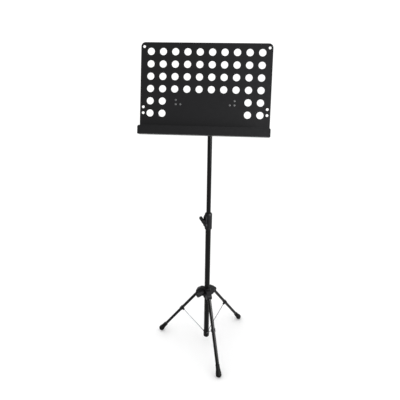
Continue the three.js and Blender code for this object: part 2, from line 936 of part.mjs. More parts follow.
// Room in which a leg's end turns from open to folded, in (radius, height).
function channelOutline() {
  const { pivotRadius, pivotHeight } = hub;
  const room = leg.halfDepth + hub.channelRoom;
  const reach = 3 * hub.lobeRadius;
  const far = [
    pivotRadius + room * Math.cos(legAngle) + reach * Math.sin(legAngle),
    pivotHeight + room * Math.sin(legAngle) - reach * Math.cos(legAngle),
  ];
  const low = Math.min(hubBottom, far[1]) - past;
  const shape = new THREE.Shape();
  shape.moveTo(lobeWeb, low);
  shape.lineTo(far[0], low);
  shape.lineTo(...far);
  shape.absarc(pivotRadius, pivotHeight, room, legAngle, Math.PI * 0.75, false);
  shape.lineTo(lobeWeb, pivotHeight);
  shape.closePath();
  return shape;
}

function legHub() {
  const collar = turnedGeometry(
    [
      [0, hubBottom],
      [hub.collarRadius - hub.chamfer, hubBottom],
      [hub.collarRadius, hubBottom + hub.chamfer],
      [hub.collarRadius, hubTop - hub.chamfer],
      [hub.collarRadius - hub.chamfer, hubTop],
      [0, hubTop],
    ],
    facets.tube,
  );
  const lobes = [];
  const tools = [];
  for (let i = 0; i < leg.count; i += 1) {
    const heading = legHeading(i);
    lobes.push(solid(through(lobeOutline(), lobeWidth, 2 * facets.arc).rotateZ(heading)));
    tools.push(solid(through(channelOutline(), channelWidth, 2 * facets.arc).rotateZ(heading)));
    tools.push(
      solid(
        rodGeometry(hub.pinRadius + slip, -lobeWidth, lobeWidth, facets.screw)
          .rotateX(-quarter)
          .translate(hub.pivotRadius, 0, hub.pivotHeight)
          .rotateZ(heading),
      ),
    );
  }
  const radial = (radius, low, high, sides) =>
    solid(
      rodGeometry(radius, low, high, sides)
        .rotateY(quarter)
        .rotateZ(leg.frontHeading + hub.lockFromFrontLeg)
        .translate(0, 0, lockHeight),
    );
  const boss = radial(hub.bossRadius, 0, hub.bossReach, facets.tube);
  tools.push(
    solid(rodGeometry(hubBore, hubBottom - past, hubTop + past, facets.tube)),
    radial(lockKnob.shank + run, 0, hub.bossReach + past, facets.hole),
    radial(hub.shoeRadius + slip, 0, shoeEnd + seat, facets.hole),
    radial(nut.radius + slip, nutFrom + nut.fromCollar, nutEnd(nutFrom) + slip, 6),
  );
  return cut(joined(solid(collar), ...lobes, boss), ...tools);
}

const shoeFrom = lowerTube.radius + seat;
const shoeEnd = shoeFrom + hub.shoeThickness;
const nutFrom = shoeEnd + hub.shoeToNut;

function lockGroup() {
  const base = hub.bossReach + seat;
  const shankEnd = base + lockKnob.length - lockKnob.skin;
  const grip = flutedGrip(lockKnob.radius, lockKnob.length, lockKnob.lobes, lockKnob.lobeDepth);
  const depth = lockKnob.length - lockKnob.skin + slip;
  const bore = solid(rodGeometry(lockKnob.shank + slip, -past, depth, facets.screw));
  return aimedGroup(
    leg.frontHeading + hub.lockFromFrontLeg,
    lockHeight,
    mesh('hub_shoe', rodGeometry(hub.shoeRadius, shoeFrom, shoeEnd, facets.hole), colours.acetal),
    mesh('hub_nut', captiveNut(nutFrom, lockKnob.shank + run), colours.zinc),
    mesh('hub_screw', rodGeometry(lockKnob.shank, shoeEnd + seat, shankEnd, facets.screw), colours.zinc),
    mesh('hub_knob', geometryOf(cut(grip, bore)).translate(0, 0, base), colours.nylon),
  );
}

// ---------------------------------------------------------------- legs and struts

// Leg frame: origin at the pivot, the leg runs along -Z, -X is the side that faces the column.
function legMatrix() {
  const matrix = new THREE.Matrix4().makeRotationY(-legAngle);
  return matrix.setPosition(hub.pivotRadius, 0, hub.pivotHeight);
}

function legTube() {
  const low = legLength - foot.tubeInset;
  const outer = ovalColumn(leg.halfDepth, leg.halfWidth, leg.plugCollar + seat, low);
  const hollow = [leg.halfDepth - leg.wall, leg.halfWidth - leg.wall];
  return cut(outer, ovalColumn(...hollow, leg.plugCollar - past, low + past));
}

// Rounded end plug that turns on the leg pin, with a spigot in the tube.
function legPlug() {
  const end = new THREE.Shape();
  end.moveTo(-leg.halfDepth, -leg.plugCollar);
  end.lineTo(leg.halfDepth, -leg.plugCollar);
  end.absarc(0, 0, leg.halfDepth, 0, Math.PI, false);
  end.closePath();
  const block = solid(through(end, 2 * (leg.halfWidth + past), 2 * facets.arc));
  const upper = -leg.halfDepth - past;
  const collar = block.intersect(ovalColumn(leg.halfDepth, leg.halfWidth, upper, leg.plugCollar));
  const inside = leg.wall + slip;
  const spigot = ovalColumn(
    leg.halfDepth - inside,
    leg.halfWidth - inside,
    leg.plugCollar - 1,
    leg.plugCollar + leg.plugSpigot,
  );
  const reach = leg.halfWidth + past;
  return cut(joined(collar, spigot), rodAlongY(hub.pinRadius + run, -reach, reach, facets.hole));
}

// Teardrop foot with a small flat sole on the floor.
function rubberFoot() {
  const top = -(legLength - foot.length);
  const profile = [[0, -legLength - foot.ball]];
  const steps = 4;
  for (let i = 1; i <= steps; i += 1) {
    const angle = (quarter * i) / steps;
    profile.push([foot.ball * Math.sin(angle), -legLength - foot.ball * Math.cos(angle)]);
  }
  const shoulders = 4;
  for (let i = 1; i <= shoulders; i += 1) {
    const share = i / shoulders;
    const ease = (1 + Math.cos(Math.PI * share)) / 2;
    const radius = foot.neck + (foot.ball - foot.neck) * ease;
    profile.push([radius, -legLength + (foot.length - foot.rimHeight) * share]);
  }
  profile.push([foot.neck - foot.rimInset, top], [0, top]);
  const socket = ovalColumn(
    leg.halfDepth + slip,
    leg.halfWidth + slip,
    legLength - foot.length - past,
    legLength - foot.length + foot.socketDepth,
  );
  const underFloor = boxGeometry(
    [leg.footReach - 4 * foot.ball, -4 * foot.ball, -4 * foot.ball],
    [leg.footReach + 4 * foot.ball, 4 * foot.ball, 0],
  ).applyMatrix4(legMatrix().invert());
  return cut(solid(turnedGeometry(profile, facets.foot)), socket, solid(underFloor));
}

// Band round the leg with two ears that hold the strut's upper eye.
function strutClip() {
  const low = clip.station + clip.length / 2;
  const high = clip.station - clip.length / 2;
  const band = ovalColumn(leg.halfDepth + slip + clip.band, leg.halfWidth + slip + clip.band, high, low);
  const inside = ovalColumn(leg.halfDepth + slip, leg.halfWidth + slip, high - past, low + past);
  const earShape = new THREE.Shape();
  earShape.moveTo(-leg.halfDepth - 1, -low);
  earShape.lineTo(-leg.halfDepth - 1, -high);
  earShape.lineTo(-clip.pivotOffset, -clip.station + clip.earRadius);
  earShape.absarc(-clip.pivotOffset, -clip.station, clip.earRadius, quarter, 1.5 * Math.PI, false);
  earShape.closePath();
  const halfGap = strut.wire + seat;
  const ears = [-1, 1].map((side) =>
    solid(through(earShape, clip.ear).translate(0, side * (halfGap + clip.ear / 2), 0)),
  );
  const pinBore = rodGeometry(strut.pin + slip, -leg.halfWidth, leg.halfWidth, facets.screw)
    .rotateX(-quarter)
    .translate(-clip.pivotOffset, 0, -clip.station);
  return cut(joined(band, ...ears), inside, solid(pinBore));
}

function strutPin() {
  const half = strut.wire + seat + clip.ear + slip;
  return headedPin(strut.pin, -half, half, strut.pinHead, strut.pinHeadHeight, strut.pinHeadHeight)
    .rotateX(-quarter)
    .translate(-clip.pivotOffset, 0, -clip.station);
}

function legPin() {
  const half = lobeWidth / 2 + slip;
  return headedPin(hub.pinRadius, -half, half, hub.pinHead, hub.pinHeadHeight, hub.pinHeadHeight)
    .rotateX(-quarter)
    .translate(hub.pivotRadius, 0, hub.pivotHeight);
}

// Steel wire with a flattened eye at each end. Origin at the upper eye, running along -Z.
function strutPiece() {
  const wire = rodGeometry(strut.wire, strut.pin - strutLength, -strut.pin, facets.smallHole);
  const shapes = [solid(wire)];
  const bores = [];
  for (const z of [0, -strutLength]) {
    const eye = rodGeometry(strut.eye, -strut.wire, strut.wire, facets.hole);
    const bore = rodGeometry(strut.pin + run, -strut.eye, strut.eye, facets.screw);
    shapes.push(solid(eye.rotateX(-quarter).translate(0, 0, z)));
    bores.push(solid(bore.rotateX(-quarter).translate(0, 0, z)));
  }
  return cut(joined(...shapes), ...bores);
}

function legGroup(i) {
  const name = (piece) => `${piece}_${i + 1}`;
  const leaning = groupOf(
    mesh(name('leg_tube'), legTube(), colours.tubeSteel),
    mesh(name('leg_plug'), legPlug(), colours.nylon),
    mesh(name('foot'), rubberFoot(), colours.rubber),
    mesh(name('strut_clip'), strutClip(), colours.paintedSteel),
    mesh(name('strut_pin'), strutPin(), colours.zinc),
  );
  leaning.position.set(hub.pivotRadius, 0, hub.pivotHeight);
  leaning.rotation.y = -legAngle;
  const stay = groupOf(mesh(name('strut'), strutPiece(), colours.wire));
  stay.position.set(strutTop.radius, 0, strutTop.height);
  stay.rotation.y = strutAngle;
  const side = groupOf(leaning, stay, mesh(name('leg_pin'), legPin(), colours.zinc));
  side.rotation.z = legHeading(i);
  return side;
}

// ---------------------------------------------------------------- assembly

const stand = groupOf(
  columnGroup(),
  clampGroup(),
  columnEndGroup(),
  headGroup(),
  deskGroup(),
  mesh('leg_hub', legHub(), colours.nylon),
  lockGroup(),
);
for (let i = 0; i < leg.count; i += 1) stand.add(legGroup(i));

// The finished stand is placed with its origin under the middle of its outer box, on the floor.
stand.updateMatrixWorld(true);
const box = new THREE.Box3().setFromObject(stand, true);
stand.position.set(-(box.min.x + box.max.x) / 2, -(box.min.y + box.max.y) / 2, -box.min.z);

const part = groupOf(stand);
export default part;
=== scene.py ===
"""Finished look of an orchestra music stand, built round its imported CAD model.

Each sub-assembly is a class. It holds its sizes in millimetres, makes its meshes in a local frame, and places
them by what the frame says about joints and mounts.
"""

import json
import logging
import math
from abc import ABC, abstractmethod
from collections.abc import Sequence
from dataclasses import dataclass, field
from enum import Enum
from typing import Any

import bmesh
import bpy
from mathutils import Matrix, Vector


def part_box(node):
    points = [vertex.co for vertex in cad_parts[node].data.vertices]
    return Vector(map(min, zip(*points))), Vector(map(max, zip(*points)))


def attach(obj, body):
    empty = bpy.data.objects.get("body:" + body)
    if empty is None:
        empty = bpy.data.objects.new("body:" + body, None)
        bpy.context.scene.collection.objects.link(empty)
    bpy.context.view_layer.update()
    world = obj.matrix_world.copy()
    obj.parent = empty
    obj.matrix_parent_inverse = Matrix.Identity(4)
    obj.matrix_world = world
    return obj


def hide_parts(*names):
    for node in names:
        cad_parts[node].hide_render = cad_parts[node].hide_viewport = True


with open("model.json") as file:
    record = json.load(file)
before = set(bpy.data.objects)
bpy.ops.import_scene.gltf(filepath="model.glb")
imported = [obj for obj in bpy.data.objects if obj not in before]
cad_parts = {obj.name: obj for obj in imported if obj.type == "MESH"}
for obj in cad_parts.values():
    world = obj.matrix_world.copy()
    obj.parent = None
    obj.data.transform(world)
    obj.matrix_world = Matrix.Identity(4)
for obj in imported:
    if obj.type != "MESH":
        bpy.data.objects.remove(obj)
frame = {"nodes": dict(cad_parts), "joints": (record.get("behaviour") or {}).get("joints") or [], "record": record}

log = logging.getLogger("music_stand")

MM = 0.001
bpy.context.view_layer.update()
HAIR = 0.05  # mm by which a face is kept from running along another one
PAST = 3.0  # mm by which a tool passes the face that it cuts
GAP = 0.3  # mm between pieces that rest on each other
SNUG = 0.1  # mm round a piece that is pushed into another, and under the head of a pin
RUN = 0.25  # mm round a pin or a tube that turns or slides
QUARTER = math.pi / 2

Outline = list[tuple[float, float]]


class Cut(Enum):
    """How a tool acts on a body."""

    JOIN = "UNION"
    REMOVE = "DIFFERENCE"
    KEEP = "INTERSECT"


class Axis(Enum):
    """Turns a body that was drawn along +Z to lie along another axis."""

    X = Matrix(((0, 0, 1, 0), (0, 1, 0, 0), (-1, 0, 0, 0), (0, 0, 0, 1)))
    Y = Matrix(((1, 0, 0, 0), (0, 0, 1, 0), (0, -1, 0, 0), (0, 0, 0, 1)))


# ---------------------------------------------------------------- nodes and colours


def feed(tree: bpy.types.NodeTree, node: Any, inputs: dict[Any, Any]) -> None:
    """Sets each input of a node, or links it when it is given an output socket."""
    for key, value in inputs.items():
        if isinstance(value, bpy.types.NodeSocket):
            tree.links.new(value, node.inputs[key])
        else:
            node.inputs[key].default_value = value


def add_node(
    tree: bpy.types.NodeTree, kind: str, inputs: dict[Any, Any] | None = None, **settings: Any
) -> Any:
    """Adds a node, sets it and links it.

    Args:
        tree: The tree that takes the node.
        kind: The node's type name.
        inputs: Value or output socket for each input, by name or number.
        **settings: Properties of the node itself.

    Returns:
        The new node.
    """
    node = tree.nodes.new(kind)
    for key, value in settings.items():
        setattr(node, key, value)
    feed(tree, node, inputs or {})
    return node


def noise(tree: bpy.types.NodeTree, place: Any, per_metre: float, detail: float, ragged: float = 0.5) -> Any:
    """Value of a cloudy pattern with so many patches to the metre."""
    inputs = {"Vector": place, "Scale": per_metre, "Detail": detail, "Roughness": ragged}
    return add_node(tree, "ShaderNodeTexNoise", inputs).outputs["Fac"]


def ranged(tree: bpy.types.NodeTree, value: Any, start: float, end: float, low: float, high: float) -> Any:
    """Value between low and high while the given one goes from start to end."""
    inputs = {"Value": value, "From Min": start, "From Max": end, "To Min": low, "To Max": high}
    return add_node(tree, "ShaderNodeMapRange", inputs).outputs[0]


def combined(tree: bpy.types.NodeTree, operation: str, a: Any, b: Any) -> Any:
    """Value of a sum or product."""
    return add_node(tree, "ShaderNodeMath", {0: a, 1: b}, operation=operation).outputs[0]


def blend(tree: bpy.types.NodeTree, amount: Any, colour: str, other: str) -> Any:
    """Colour between two sRGB hex colours."""
    inputs = {"Factor": amount, 6: linear(colour), 7: linear(other)}
    return add_node(tree, "ShaderNodeMix", inputs, data_type="RGBA").outputs[2]


def relief(tree: bpy.types.NodeTree, height: Any, depth_mm: float, **under: Any) -> Any:
    """Normal of a surface with a pattern of that depth. Under may hold the Normal of a finer pattern."""
    return add_node(tree, "ShaderNodeBump", {"Height": height, "Distance": depth_mm * MM, **under}).outputs[0]


def linear(colour: str) -> tuple[float, float, float, float]:
    """Turns an sRGB hex colour such as "#1c1c1d" to linear RGBA."""
    parts = [int(colour[i : i + 2], 16) / 255 for i in (1, 3, 5)]
    return (*(c / 12.92 if c <= 0.04045 else ((c + 0.055) / 1.055) ** 2.4 for c in parts), 1.0)


# ---------------------------------------------------------------- finishes


@dataclass(frozen=True)
class Finish(ABC):
    """A material of the stand, named for what it is made of and how its surface was made.

    Attributes:
        name: Name of the material.
        slot: Material slot of the record that it belongs to. It is not used.
        colour: Main colour, sRGB hex.
        specular: Specular level of the shader. The black pieces are dull, so theirs is low.
    """

    name: str
    slot: str
    colour: str
    specular: float = 0.12

    def material(self) -> bpy.types.Material:
        """Returns the finished material, made once."""
        made = bpy.data.materials.get(self.name)
        if made is None:
            made = bpy.data.materials.new(self.name)
            made.use_nodes = True
            made.node_tree.nodes.clear()
            looks = {"Base Color": linear(self.colour), "Specular IOR Level": self.specular}
            shader = add_node(made.node_tree, "ShaderNodeBsdfPrincipled", looks)
            add_node(made.node_tree, "ShaderNodeOutputMaterial", {"Surface": shader.outputs["BSDF"]})
            place = add_node(made.node_tree, "ShaderNodeTexCoord").outputs["Object"]
            self.dress(made.node_tree, shader, place)
        return made

    @abstractmethod
    def dress(self, tree: bpy.types.NodeTree, shader: Any, place: Any) -> None:
        """Sets the shader and adds its patterns.

        Args:
            tree: The material's tree.
            shader: Its Principled BSDF.
            place: Object coordinates.
        """


@dataclass(frozen=True)
class PowderCoat(Finish):
    """Black polyester powder baked on steel: a closed satin film with a faint orange peel, paler at edges.

    Attributes:
        worn: Colour of rubbed edges, sRGB hex.
        gloss_range: Lowest and highest roughness.
        peel_mm: Width of one orange-peel dimple. The real one is about 1 mm, drawn a little coarser to show.
        peel_height_mm: Depth of the dimples.
        grit_mm: Width of the finest specks of the film.
        rubs_per_metre: How many rubbed patches there are to the metre.
        stretch: How much longer than wide the rub marks are, along Z.
    """

    worn: str = "#232324"
    gloss_range: tuple[float, float] = (0.34, 0.46)
    peel_mm: float = 1.6
    peel_height_mm: float = 0.012
    grit_mm: float = 0.35
    rubs_per_metre: float = 90.0
    stretch: float = 1.0

    def dress(self, tree: bpy.types.NodeTree, shader: Any, place: Any) -> None:
        """Adds orange peel, fine specks, uneven gloss and worn edges."""
        stretched = add_node(tree, "ShaderNodeMapping", {"Vector": place, "Scale": (1, 1, 1 / self.stretch)})
        peel = noise(tree, place, 1 / (self.peel_mm * MM), 1.0)
        grit = noise(tree, place, 1 / (self.grit_mm * MM), 2.0)
        rubbed = noise(tree, stretched.outputs[0], self.rubs_per_metre, 6.0, 0.6)
        specks = relief(tree, grit, self.peel_height_mm / 3)
        looks = {
            "Roughness": ranged(tree, rubbed, 0.3, 0.7, *self.gloss_range),
            "Base Color": edge_wear(tree, rubbed, self.colour, self.worn),
            "Normal": relief(tree, peel, self.peel_height_mm, Normal=specks),
        }
        feed(tree, shader, looks)


EDGE_MM = 0.9  # how far from an edge the finish is rubbed


def edge_wear(tree: bpy.types.NodeTree, rubbed: Any, colour: str, worn: str) -> Any:
    """Mixes a paler colour in where the surface turns sharply and the rub pattern is strong.

    Args:
        tree: The material's tree.
        rubbed: Pattern that breaks up the wear.
        colour: Colour of the sound surface, sRGB hex.
        worn: Colour of the worn edge, sRGB hex.

    Returns:
        The colour output.
    """
    rounded_normal = add_node(tree, "ShaderNodeBevel", {"Radius": EDGE_MM * MM}, samples=4).outputs[0]
    flat_normal = add_node(tree, "ShaderNodeNewGeometry").outputs["Normal"]
    normals = {0: rounded_normal, 1: flat_normal}
    turn = add_node(tree, "ShaderNodeVectorMath", normals, operation="DOT_PRODUCT").outputs["Value"]
    edge = ranged(tree, turn, 0.98, 0.8, 0.0, 0.9)
    broken = ranged(tree, rubbed, 0.45, 0.62, 0.0, 1.0)
    return blend(tree, combined(tree, "MULTIPLY", edge, broken), colour, worn)


@dataclass(frozen=True)
class MouldedNylon(Finish):
    """Glass-filled black nylon from a spark-eroded mould: an even fine grain with a dull sheen.

    Attributes:
        rubbed_colour: Colour of handled high spots, sRGB hex.
        grain_mm: Width of one grain of the mould texture. A real one is about 0.3 mm, drawn coarser to show.
        grain_height_mm: Depth of the grain.
        patches_per_metre: How many handled patches there are to the metre.
        roughness: Mean roughness.
        uneven: How much the roughness strays from its mean.
    """

    rubbed_colour: str = "#1f1f20"
    grain_mm: float = 0.5
    grain_height_mm: float = 0.03
    patches_per_metre: float = 60.0
    roughness: float = 0.5
    uneven: float = 0.07

    def dress(self, tree: bpy.types.NodeTree, shader: Any, place: Any) -> None:
        """Adds the mould grain, handled patches and rubbed edges."""
        pattern = {"Vector": place, "Scale": 1 / (self.grain_mm * MM)}
        grain = add_node(tree, "ShaderNodeTexVoronoi", pattern, feature="SMOOTH_F1").outputs["Distance"]
        handled = noise(tree, place, self.patches_per_metre, 4.0)
        gloss_range = (self.roughness - self.uneven, self.roughness + self.uneven)
        looks = {
            "Roughness": ranged(tree, handled, 0.3, 0.7, *gloss_range),
            "Normal": relief(tree, grain, self.grain_height_mm),
            "Base Color": edge_wear(tree, handled, self.colour, self.rubbed_colour),
            "IOR": 1.53,
        }
        feed(tree, shader, looks)


@dataclass(frozen=True)
class BlackRubber(Finish):
    """Moulded black rubber: matt, slightly pitted, greyed by dust where it meets the floor.

    Attributes:
        dust: Colour of the dust, sRGB hex.
        pit_mm: Width of the pits.
        pit_depth_mm: Depth of the pits.
        patches_per_metre: How many dusty patches there are to the metre.
        dust_height_mm: Height above the floor that the dust reaches.
    """

    dust: str = "#242321"
    pit_mm: float = 0.8
    pit_depth_mm: float = 0.04
    patches_per_metre: float = 180.0
    dust_height_mm: float = 9.0

    def dress(self, tree: bpy.types.NodeTree, shader: Any, place: Any) -> None:
        """Adds pits and the dusty band above the floor."""
        pits = noise(tree, place, 1 / (self.pit_mm * MM), 3.0)
        patches = noise(tree, place, self.patches_per_metre, 5.0)
        height = add_node(tree, "ShaderNodeSeparateXYZ", {0: place}).outputs["Z"]
        low = ranged(tree, height, self.dust_height_mm * MM, 0.0, 0.0, 0.8)
        looks = {
            "Normal": relief(tree, pits, self.pit_depth_mm),
            "Base Color": blend(tree, combined(tree, "MULTIPLY", low, patches), self.colour, self.dust),
            "Roughness": ranged(tree, patches, 0.0, 1.0, 0.62, 0.86),
        }
        feed(tree, shader, looks)


@dataclass(frozen=True)
class PlatedSteel(Finish):
    """Zinc-plated or drawn steel: a metal with a fine lengthwise or all-round brush and cloudy gloss.

    Attributes:
        clouded: Second tone of the plating, sRGB hex.
        roughness: Mean roughness.
        uneven: How much the roughness strays from its mean.
        clouds_per_metre: How many clouds of the plating there are to the metre.
        line_mm: Spacing of the finest drawing lines, drawn coarser than the real ones to show.
        line_depth_mm: Depth of the lines.
        length_ratio: How much longer than wide the lines are, along Z.
    """

    clouded: str = "#7f8285"
    roughness: float = 0.34
    uneven: float = 0.1
    clouds_per_metre: float = 140.0
    line_mm: float = 0.3
    line_depth_mm: float = 0.006
    length_ratio: float = 1.0

    def dress(self, tree: bpy.types.NodeTree, shader: Any, place: Any) -> None:
        """Adds the drawing lines and the cloudy plating."""
        run = add_node(tree, "ShaderNodeMapping", {"Vector": place, "Scale": (1, 1, 1 / self.length_ratio)})
        lines = noise(tree, run.outputs[0], 1 / (self.line_mm * MM), 2.0)
        cloud = noise(tree, place, self.clouds_per_metre, 4.0)
        gloss_range = (self.roughness - self.uneven, self.roughness + self.uneven)
        looks = {
            "Metallic": 1.0,
            "Base Color": blend(tree, cloud, self.colour, self.clouded),
            "Roughness": ranged(tree, lines, 0.0, 1.0, *gloss_range),
            "Normal": relief(tree, lines, self.line_depth_mm),
        }
        feed(tree, shader, looks)


@dataclass(frozen=True)
class Acetal(Finish):
    """Natural acetal, injection moulded: off-white, waxy, a little translucent.

    Attributes:
        flows_per_metre: How many flow marks there are to the metre.
        flow_depth_mm: Depth of the marks.
        glow_mm: How far light runs under the surface.
    """

    flows_per_metre: float = 120.0
    flow_depth_mm: float = 0.02
    glow_mm: float = 1.5

    def dress(self, tree: bpy.types.NodeTree, shader: Any, place: Any) -> None:
        """Adds a waxy depth and faint flow marks."""
        flow = noise(tree, place, self.flows_per_metre, 3.0)
        looks = {
            "Roughness": ranged(tree, flow, 0.0, 1.0, 0.32, 0.5),
            "Normal": relief(tree, flow, self.flow_depth_mm),
            "Subsurface Weight": 0.15,
            "Subsurface Scale": self.glow_mm * MM,
            "IOR": 1.48,
        }
        feed(tree, shader, looks)


@dataclass(frozen=True)
class PaleFloor(Finish):
    """Matt white studio floor paper with a barely visible tooth.

    Attributes:
        grains_per_metre: How many grains of the paper there are to the metre.
        grain_depth_mm: Depth of the grains.
    """

    grains_per_metre: float = 400.0
    grain_depth_mm: float = 0.05

    def dress(self, tree: bpy.types.NodeTree, shader: Any, place: Any) -> None:
        """Adds the paper's tooth."""
        tooth = noise(tree, place, self.grains_per_metre, 3.0)
        feed(tree, shader, {"Normal": relief(tree, tooth, self.grain_depth_mm), "Roughness": 0.95})


SHEET_COAT = PowderCoat("satin_black_powder_coat_on_sheet", "painted_sheet", "#0b0b0c", specular=0.11)
# Rivet coat: its base colour is painted paler than the sheet's, a painted highlight for the glint on the rivets'
# domes. The paler worn colour is the edge wear that edge_wear mixes in at their rims.
RIVET_COAT_PAINTED_HIGHLIGHT = PowderCoat(
    "black_rivet_coat_painted_highlight", "painted_sheet", "#323233", worn="#5a5a5c", specular=0.3
)
TUBE_COAT = PowderCoat(
    "semi_gloss_black_powder_coat_on_tube",
    "painted_tube",
    "#050505",
    specular=0.1,
    worn="#1a1a1b",
    gloss_range=(0.2, 0.3),
    peel_mm=2.0,
    peel_height_mm=0.01,
    stretch=14.0,
)
NYLON = MouldedNylon("spark_grained_black_nylon", "nylon", "#060607", specular=0.1)
RUBBER = BlackRubber("moulded_black_rubber", "rubber", "#080808", specular=0.08)
ZINC = PlatedSteel("zinc_plated_steel", "zinc", "#9b9da0", specular=0.5)
BLACK_ZINC = PlatedSteel(
    "black_zinc_plated_steel", "zinc", "#2b2b2d", specular=0.5, clouded="#232325", roughness=0.42
)
WIRE = PlatedSteel(
    "drawn_steel_wire", "wire", "#6c6e72", specular=0.5, clouded="#57595c", roughness=0.4, length_ratio=30.0
)
ACETAL = Acetal("natural_acetal", "acetal", "#d9d6cc", specular=0.5)
FLOOR_PAPER = PaleFloor("white_floor_paper", "", "#fcfcfc", specular=0.05)


# ---------------------------------------------------------------- outlines, in millimetres


def arc(centre: tuple[float, float], radius: float, start: float, end: float, steps: int = 8) -> Outline:
    """Points of an arc.

    Args:
        centre: Its centre.
        radius: Its radius.
        start: First angle, in radians.
        end: Last angle, in radians.
        steps: Stretches between its points.

    Returns:
        The points, both ends included.
    """
    angles = [start + (end - start) * i / steps for i in range(steps + 1)]
    return [(centre[0] + radius * math.cos(a), centre[1] + radius * math.sin(a)) for a in angles]


def filleted(corners: Sequence[tuple[float, float, float]], steps: int = 6) -> Outline:
    """Closed outline with rounded corners.

    Args:
        corners: Each corner's place and fillet radius.
        steps: Stretches in each fillet.

    Returns:
        The outline's points.
    """
    points: Outline = []
    count = len(corners)
    for i, (x, y, radius) in enumerate(corners):
        here = Vector((x, y))
        before = (Vector(corners[i - 1][:2]) - here).normalized()
        after = (Vector(corners[(i + 1) % count][:2]) - here).normalized()
        half = before.angle(after) / 2
        if radius <= 0 or half > QUARTER - 1e-4:
            points.append((x, y))
            continue
        reach = radius / math.tan(half)
        centre = here + (before + after).normalized() * (radius / math.sin(half))
        first = here + before * reach - centre
        sweep = first.angle_signed(here + after * reach - centre)
        for k in range(steps + 1):
            turned_by = -sweep * k / steps
            spot = centre + Matrix.Rotation(turned_by, 2) @ first
            points.append((spot.x, spot.y))
    return points


def rounded_profile(low: float, high: float, radius: float, edge: float, steps: int = 4) -> Outline:
    """Profile of a solid rod with rounded end edges, from axis to axis, for a turned body."""
    return [
        (0, low),
        *arc((radius - edge, low + edge), edge, -QUARTER, 0, steps),
        *arc((radius - edge, high - edge), edge, 0, QUARTER, steps),
        (0, high),
    ]


def square_outline(half: float) -> Outline:
    """Corners of a square about the origin."""
    return [(-half, -half), (half, -half), (half, half), (-half, half)]


# ---------------------------------------------------------------- meshes, in millimetres


def as_mesh(bm: bmesh.types.BMesh, name: str = "work") -> bpy.types.Mesh:
    """Turns a bmesh to a mesh with outward faces and frees it."""
    bmesh.ops.recalc_face_normals(bm, faces=bm.faces)
    mesh = bpy.data.meshes.new(name)
    bm.to_mesh(mesh)
    bm.free()
    return mesh


def turned(profile: Outline, sides: int = 64, flutes: int = 0, depth: float = 0.0) -> bpy.types.Mesh:
    """Body of revolution about +Z.

    Args:
        profile: Points as (radius, height). It starts and ends on the axis, or closes on itself.
        sides: Steps round the axis.
        flutes: Hollows cut lengthwise into the outside.
        depth: Depth of the flutes at full radius.

    Returns:
        The closed mesh.
    """
    bm = bmesh.new()
    widest = max(radius for radius, _ in profile)
    closes = profile[0] == profile[-1]
    rings = []
    for radius, height in profile[:-1] if closes else profile:
        if radius < 1e-6:
            rings.append([bm.verts.new((0, 0, height))])
            continue
        ring = []
        for i in range(sides):
            angle = 2 * math.pi * i / sides
            hollow = depth * (1 - math.cos(flutes * angle)) / 2 * (radius / widest) ** 2 if flutes else 0.0
            reach = radius - hollow
            ring.append(bm.verts.new((reach * math.cos(angle), reach * math.sin(angle), height)))
        rings.append(ring)
    pairs = list(zip(rings, rings[1:]))
    if closes:
        pairs.append((rings[-1], rings[0]))
    for lower, upper in pairs:
        for i in range(sides):
            corners = [lower[i % len(lower)], lower[(i + 1) % len(lower)]]
            corners += [upper[(i + 1) % len(upper)], upper[i % len(upper)]]
            unique = list(dict.fromkeys(corners))
            if len(unique) > 2:
                bm.faces.new(unique)
    return as_mesh(bm)


def bore_tool(radius: float, low: float, high: float, sides: int = 40) -> bpy.types.Mesh:
    """Rod along +Z that cuts a round bore. Its ends have a hair-thin chamfer."""
    return turned(rounded_profile(low, high, radius, 0.01), sides)


def prism(outline: Outline, low: float, high: float) -> bpy.types.Mesh:
    """Solid of a closed outline in (x, y), from one height to another along Z."""
    bm = bmesh.new()
    floor = [bm.verts.new((x, y, low)) for x, y in outline]
    roof = [bm.verts.new((x, y, high)) for x, y in outline]
    bm.faces.new(reversed(floor))
    bm.faces.new(roof)
    for i, _ in enumerate(outline):
        j = (i + 1) % len(outline)
        bm.faces.new((floor[i], floor[j], roof[j], roof[i]))
    return as_mesh(bm)


def across(outline: Outline, width: float) -> bpy.types.Mesh:
    """Solid of an outline in (y, z), pushed along X and centred on it."""
    mesh = prism(outline, -width / 2, width / 2)
    mesh.transform(Matrix(((0, 0, 1, 0), (1, 0, 0, 0), (0, 1, 0, 0), (0, 0, 0, 1))))
    return mesh


def through(outline: Outline, width: float) -> bpy.types.Mesh:
    """Solid of an outline in (x, z), pushed along Y and centred on it."""
    mesh = prism(outline, -width / 2, width / 2)
    mesh.transform(Matrix(((1, 0, 0, 0), (0, 0, -1, 0), (0, 1, 0, 0), (0, 0, 0, 1))))
    return mesh


def oval_outline(half_x: float, half_y: float, steps: int = 56) -> Outline:
    """Points of an ellipse."""
    angles = [2 * math.pi * i / steps for i in range(steps)]
    return [(half_x * math.cos(a), half_y * math.sin(a)) for a in angles]


def oval_tube(half_x: float, half_y: float, wall: float, low: float, high: float) -> bpy.types.Mesh:
    """Open-ended oval tube along Z."""
    bm = bmesh.new()
    rings = [
        [bm.verts.new((x, y, height)) for x, y in oval_outline(half_x - inset, half_y - inset)]
        for inset, height in ((0, low), (0, high), (wall, high), (wall, low))
    ]
    for a, b in zip(rings, rings[1:] + rings[:1]):
        for i, _ in enumerate(a):
            j = (i + 1) % len(a)
            bm.faces.new((a[i], a[j], b[j], b[i]))
    return as_mesh(bm)


def moved(mesh: bpy.types.Mesh, *steps: Matrix) -> bpy.types.Mesh:
    """Applies matrices to a mesh in the order given, and returns the mesh."""
    for step in steps:
        mesh.transform(step)
    return mesh


def shift(x: float = 0, y: float = 0, z: float = 0) -> Matrix:
    """Matrix of a move."""
    return Matrix.Translation((x, y, z))


def spin(angle: float, axis: str = "Z") -> Matrix:
    """Matrix of a turn about an axis through the origin."""
    return Matrix.Rotation(angle, 4, axis)


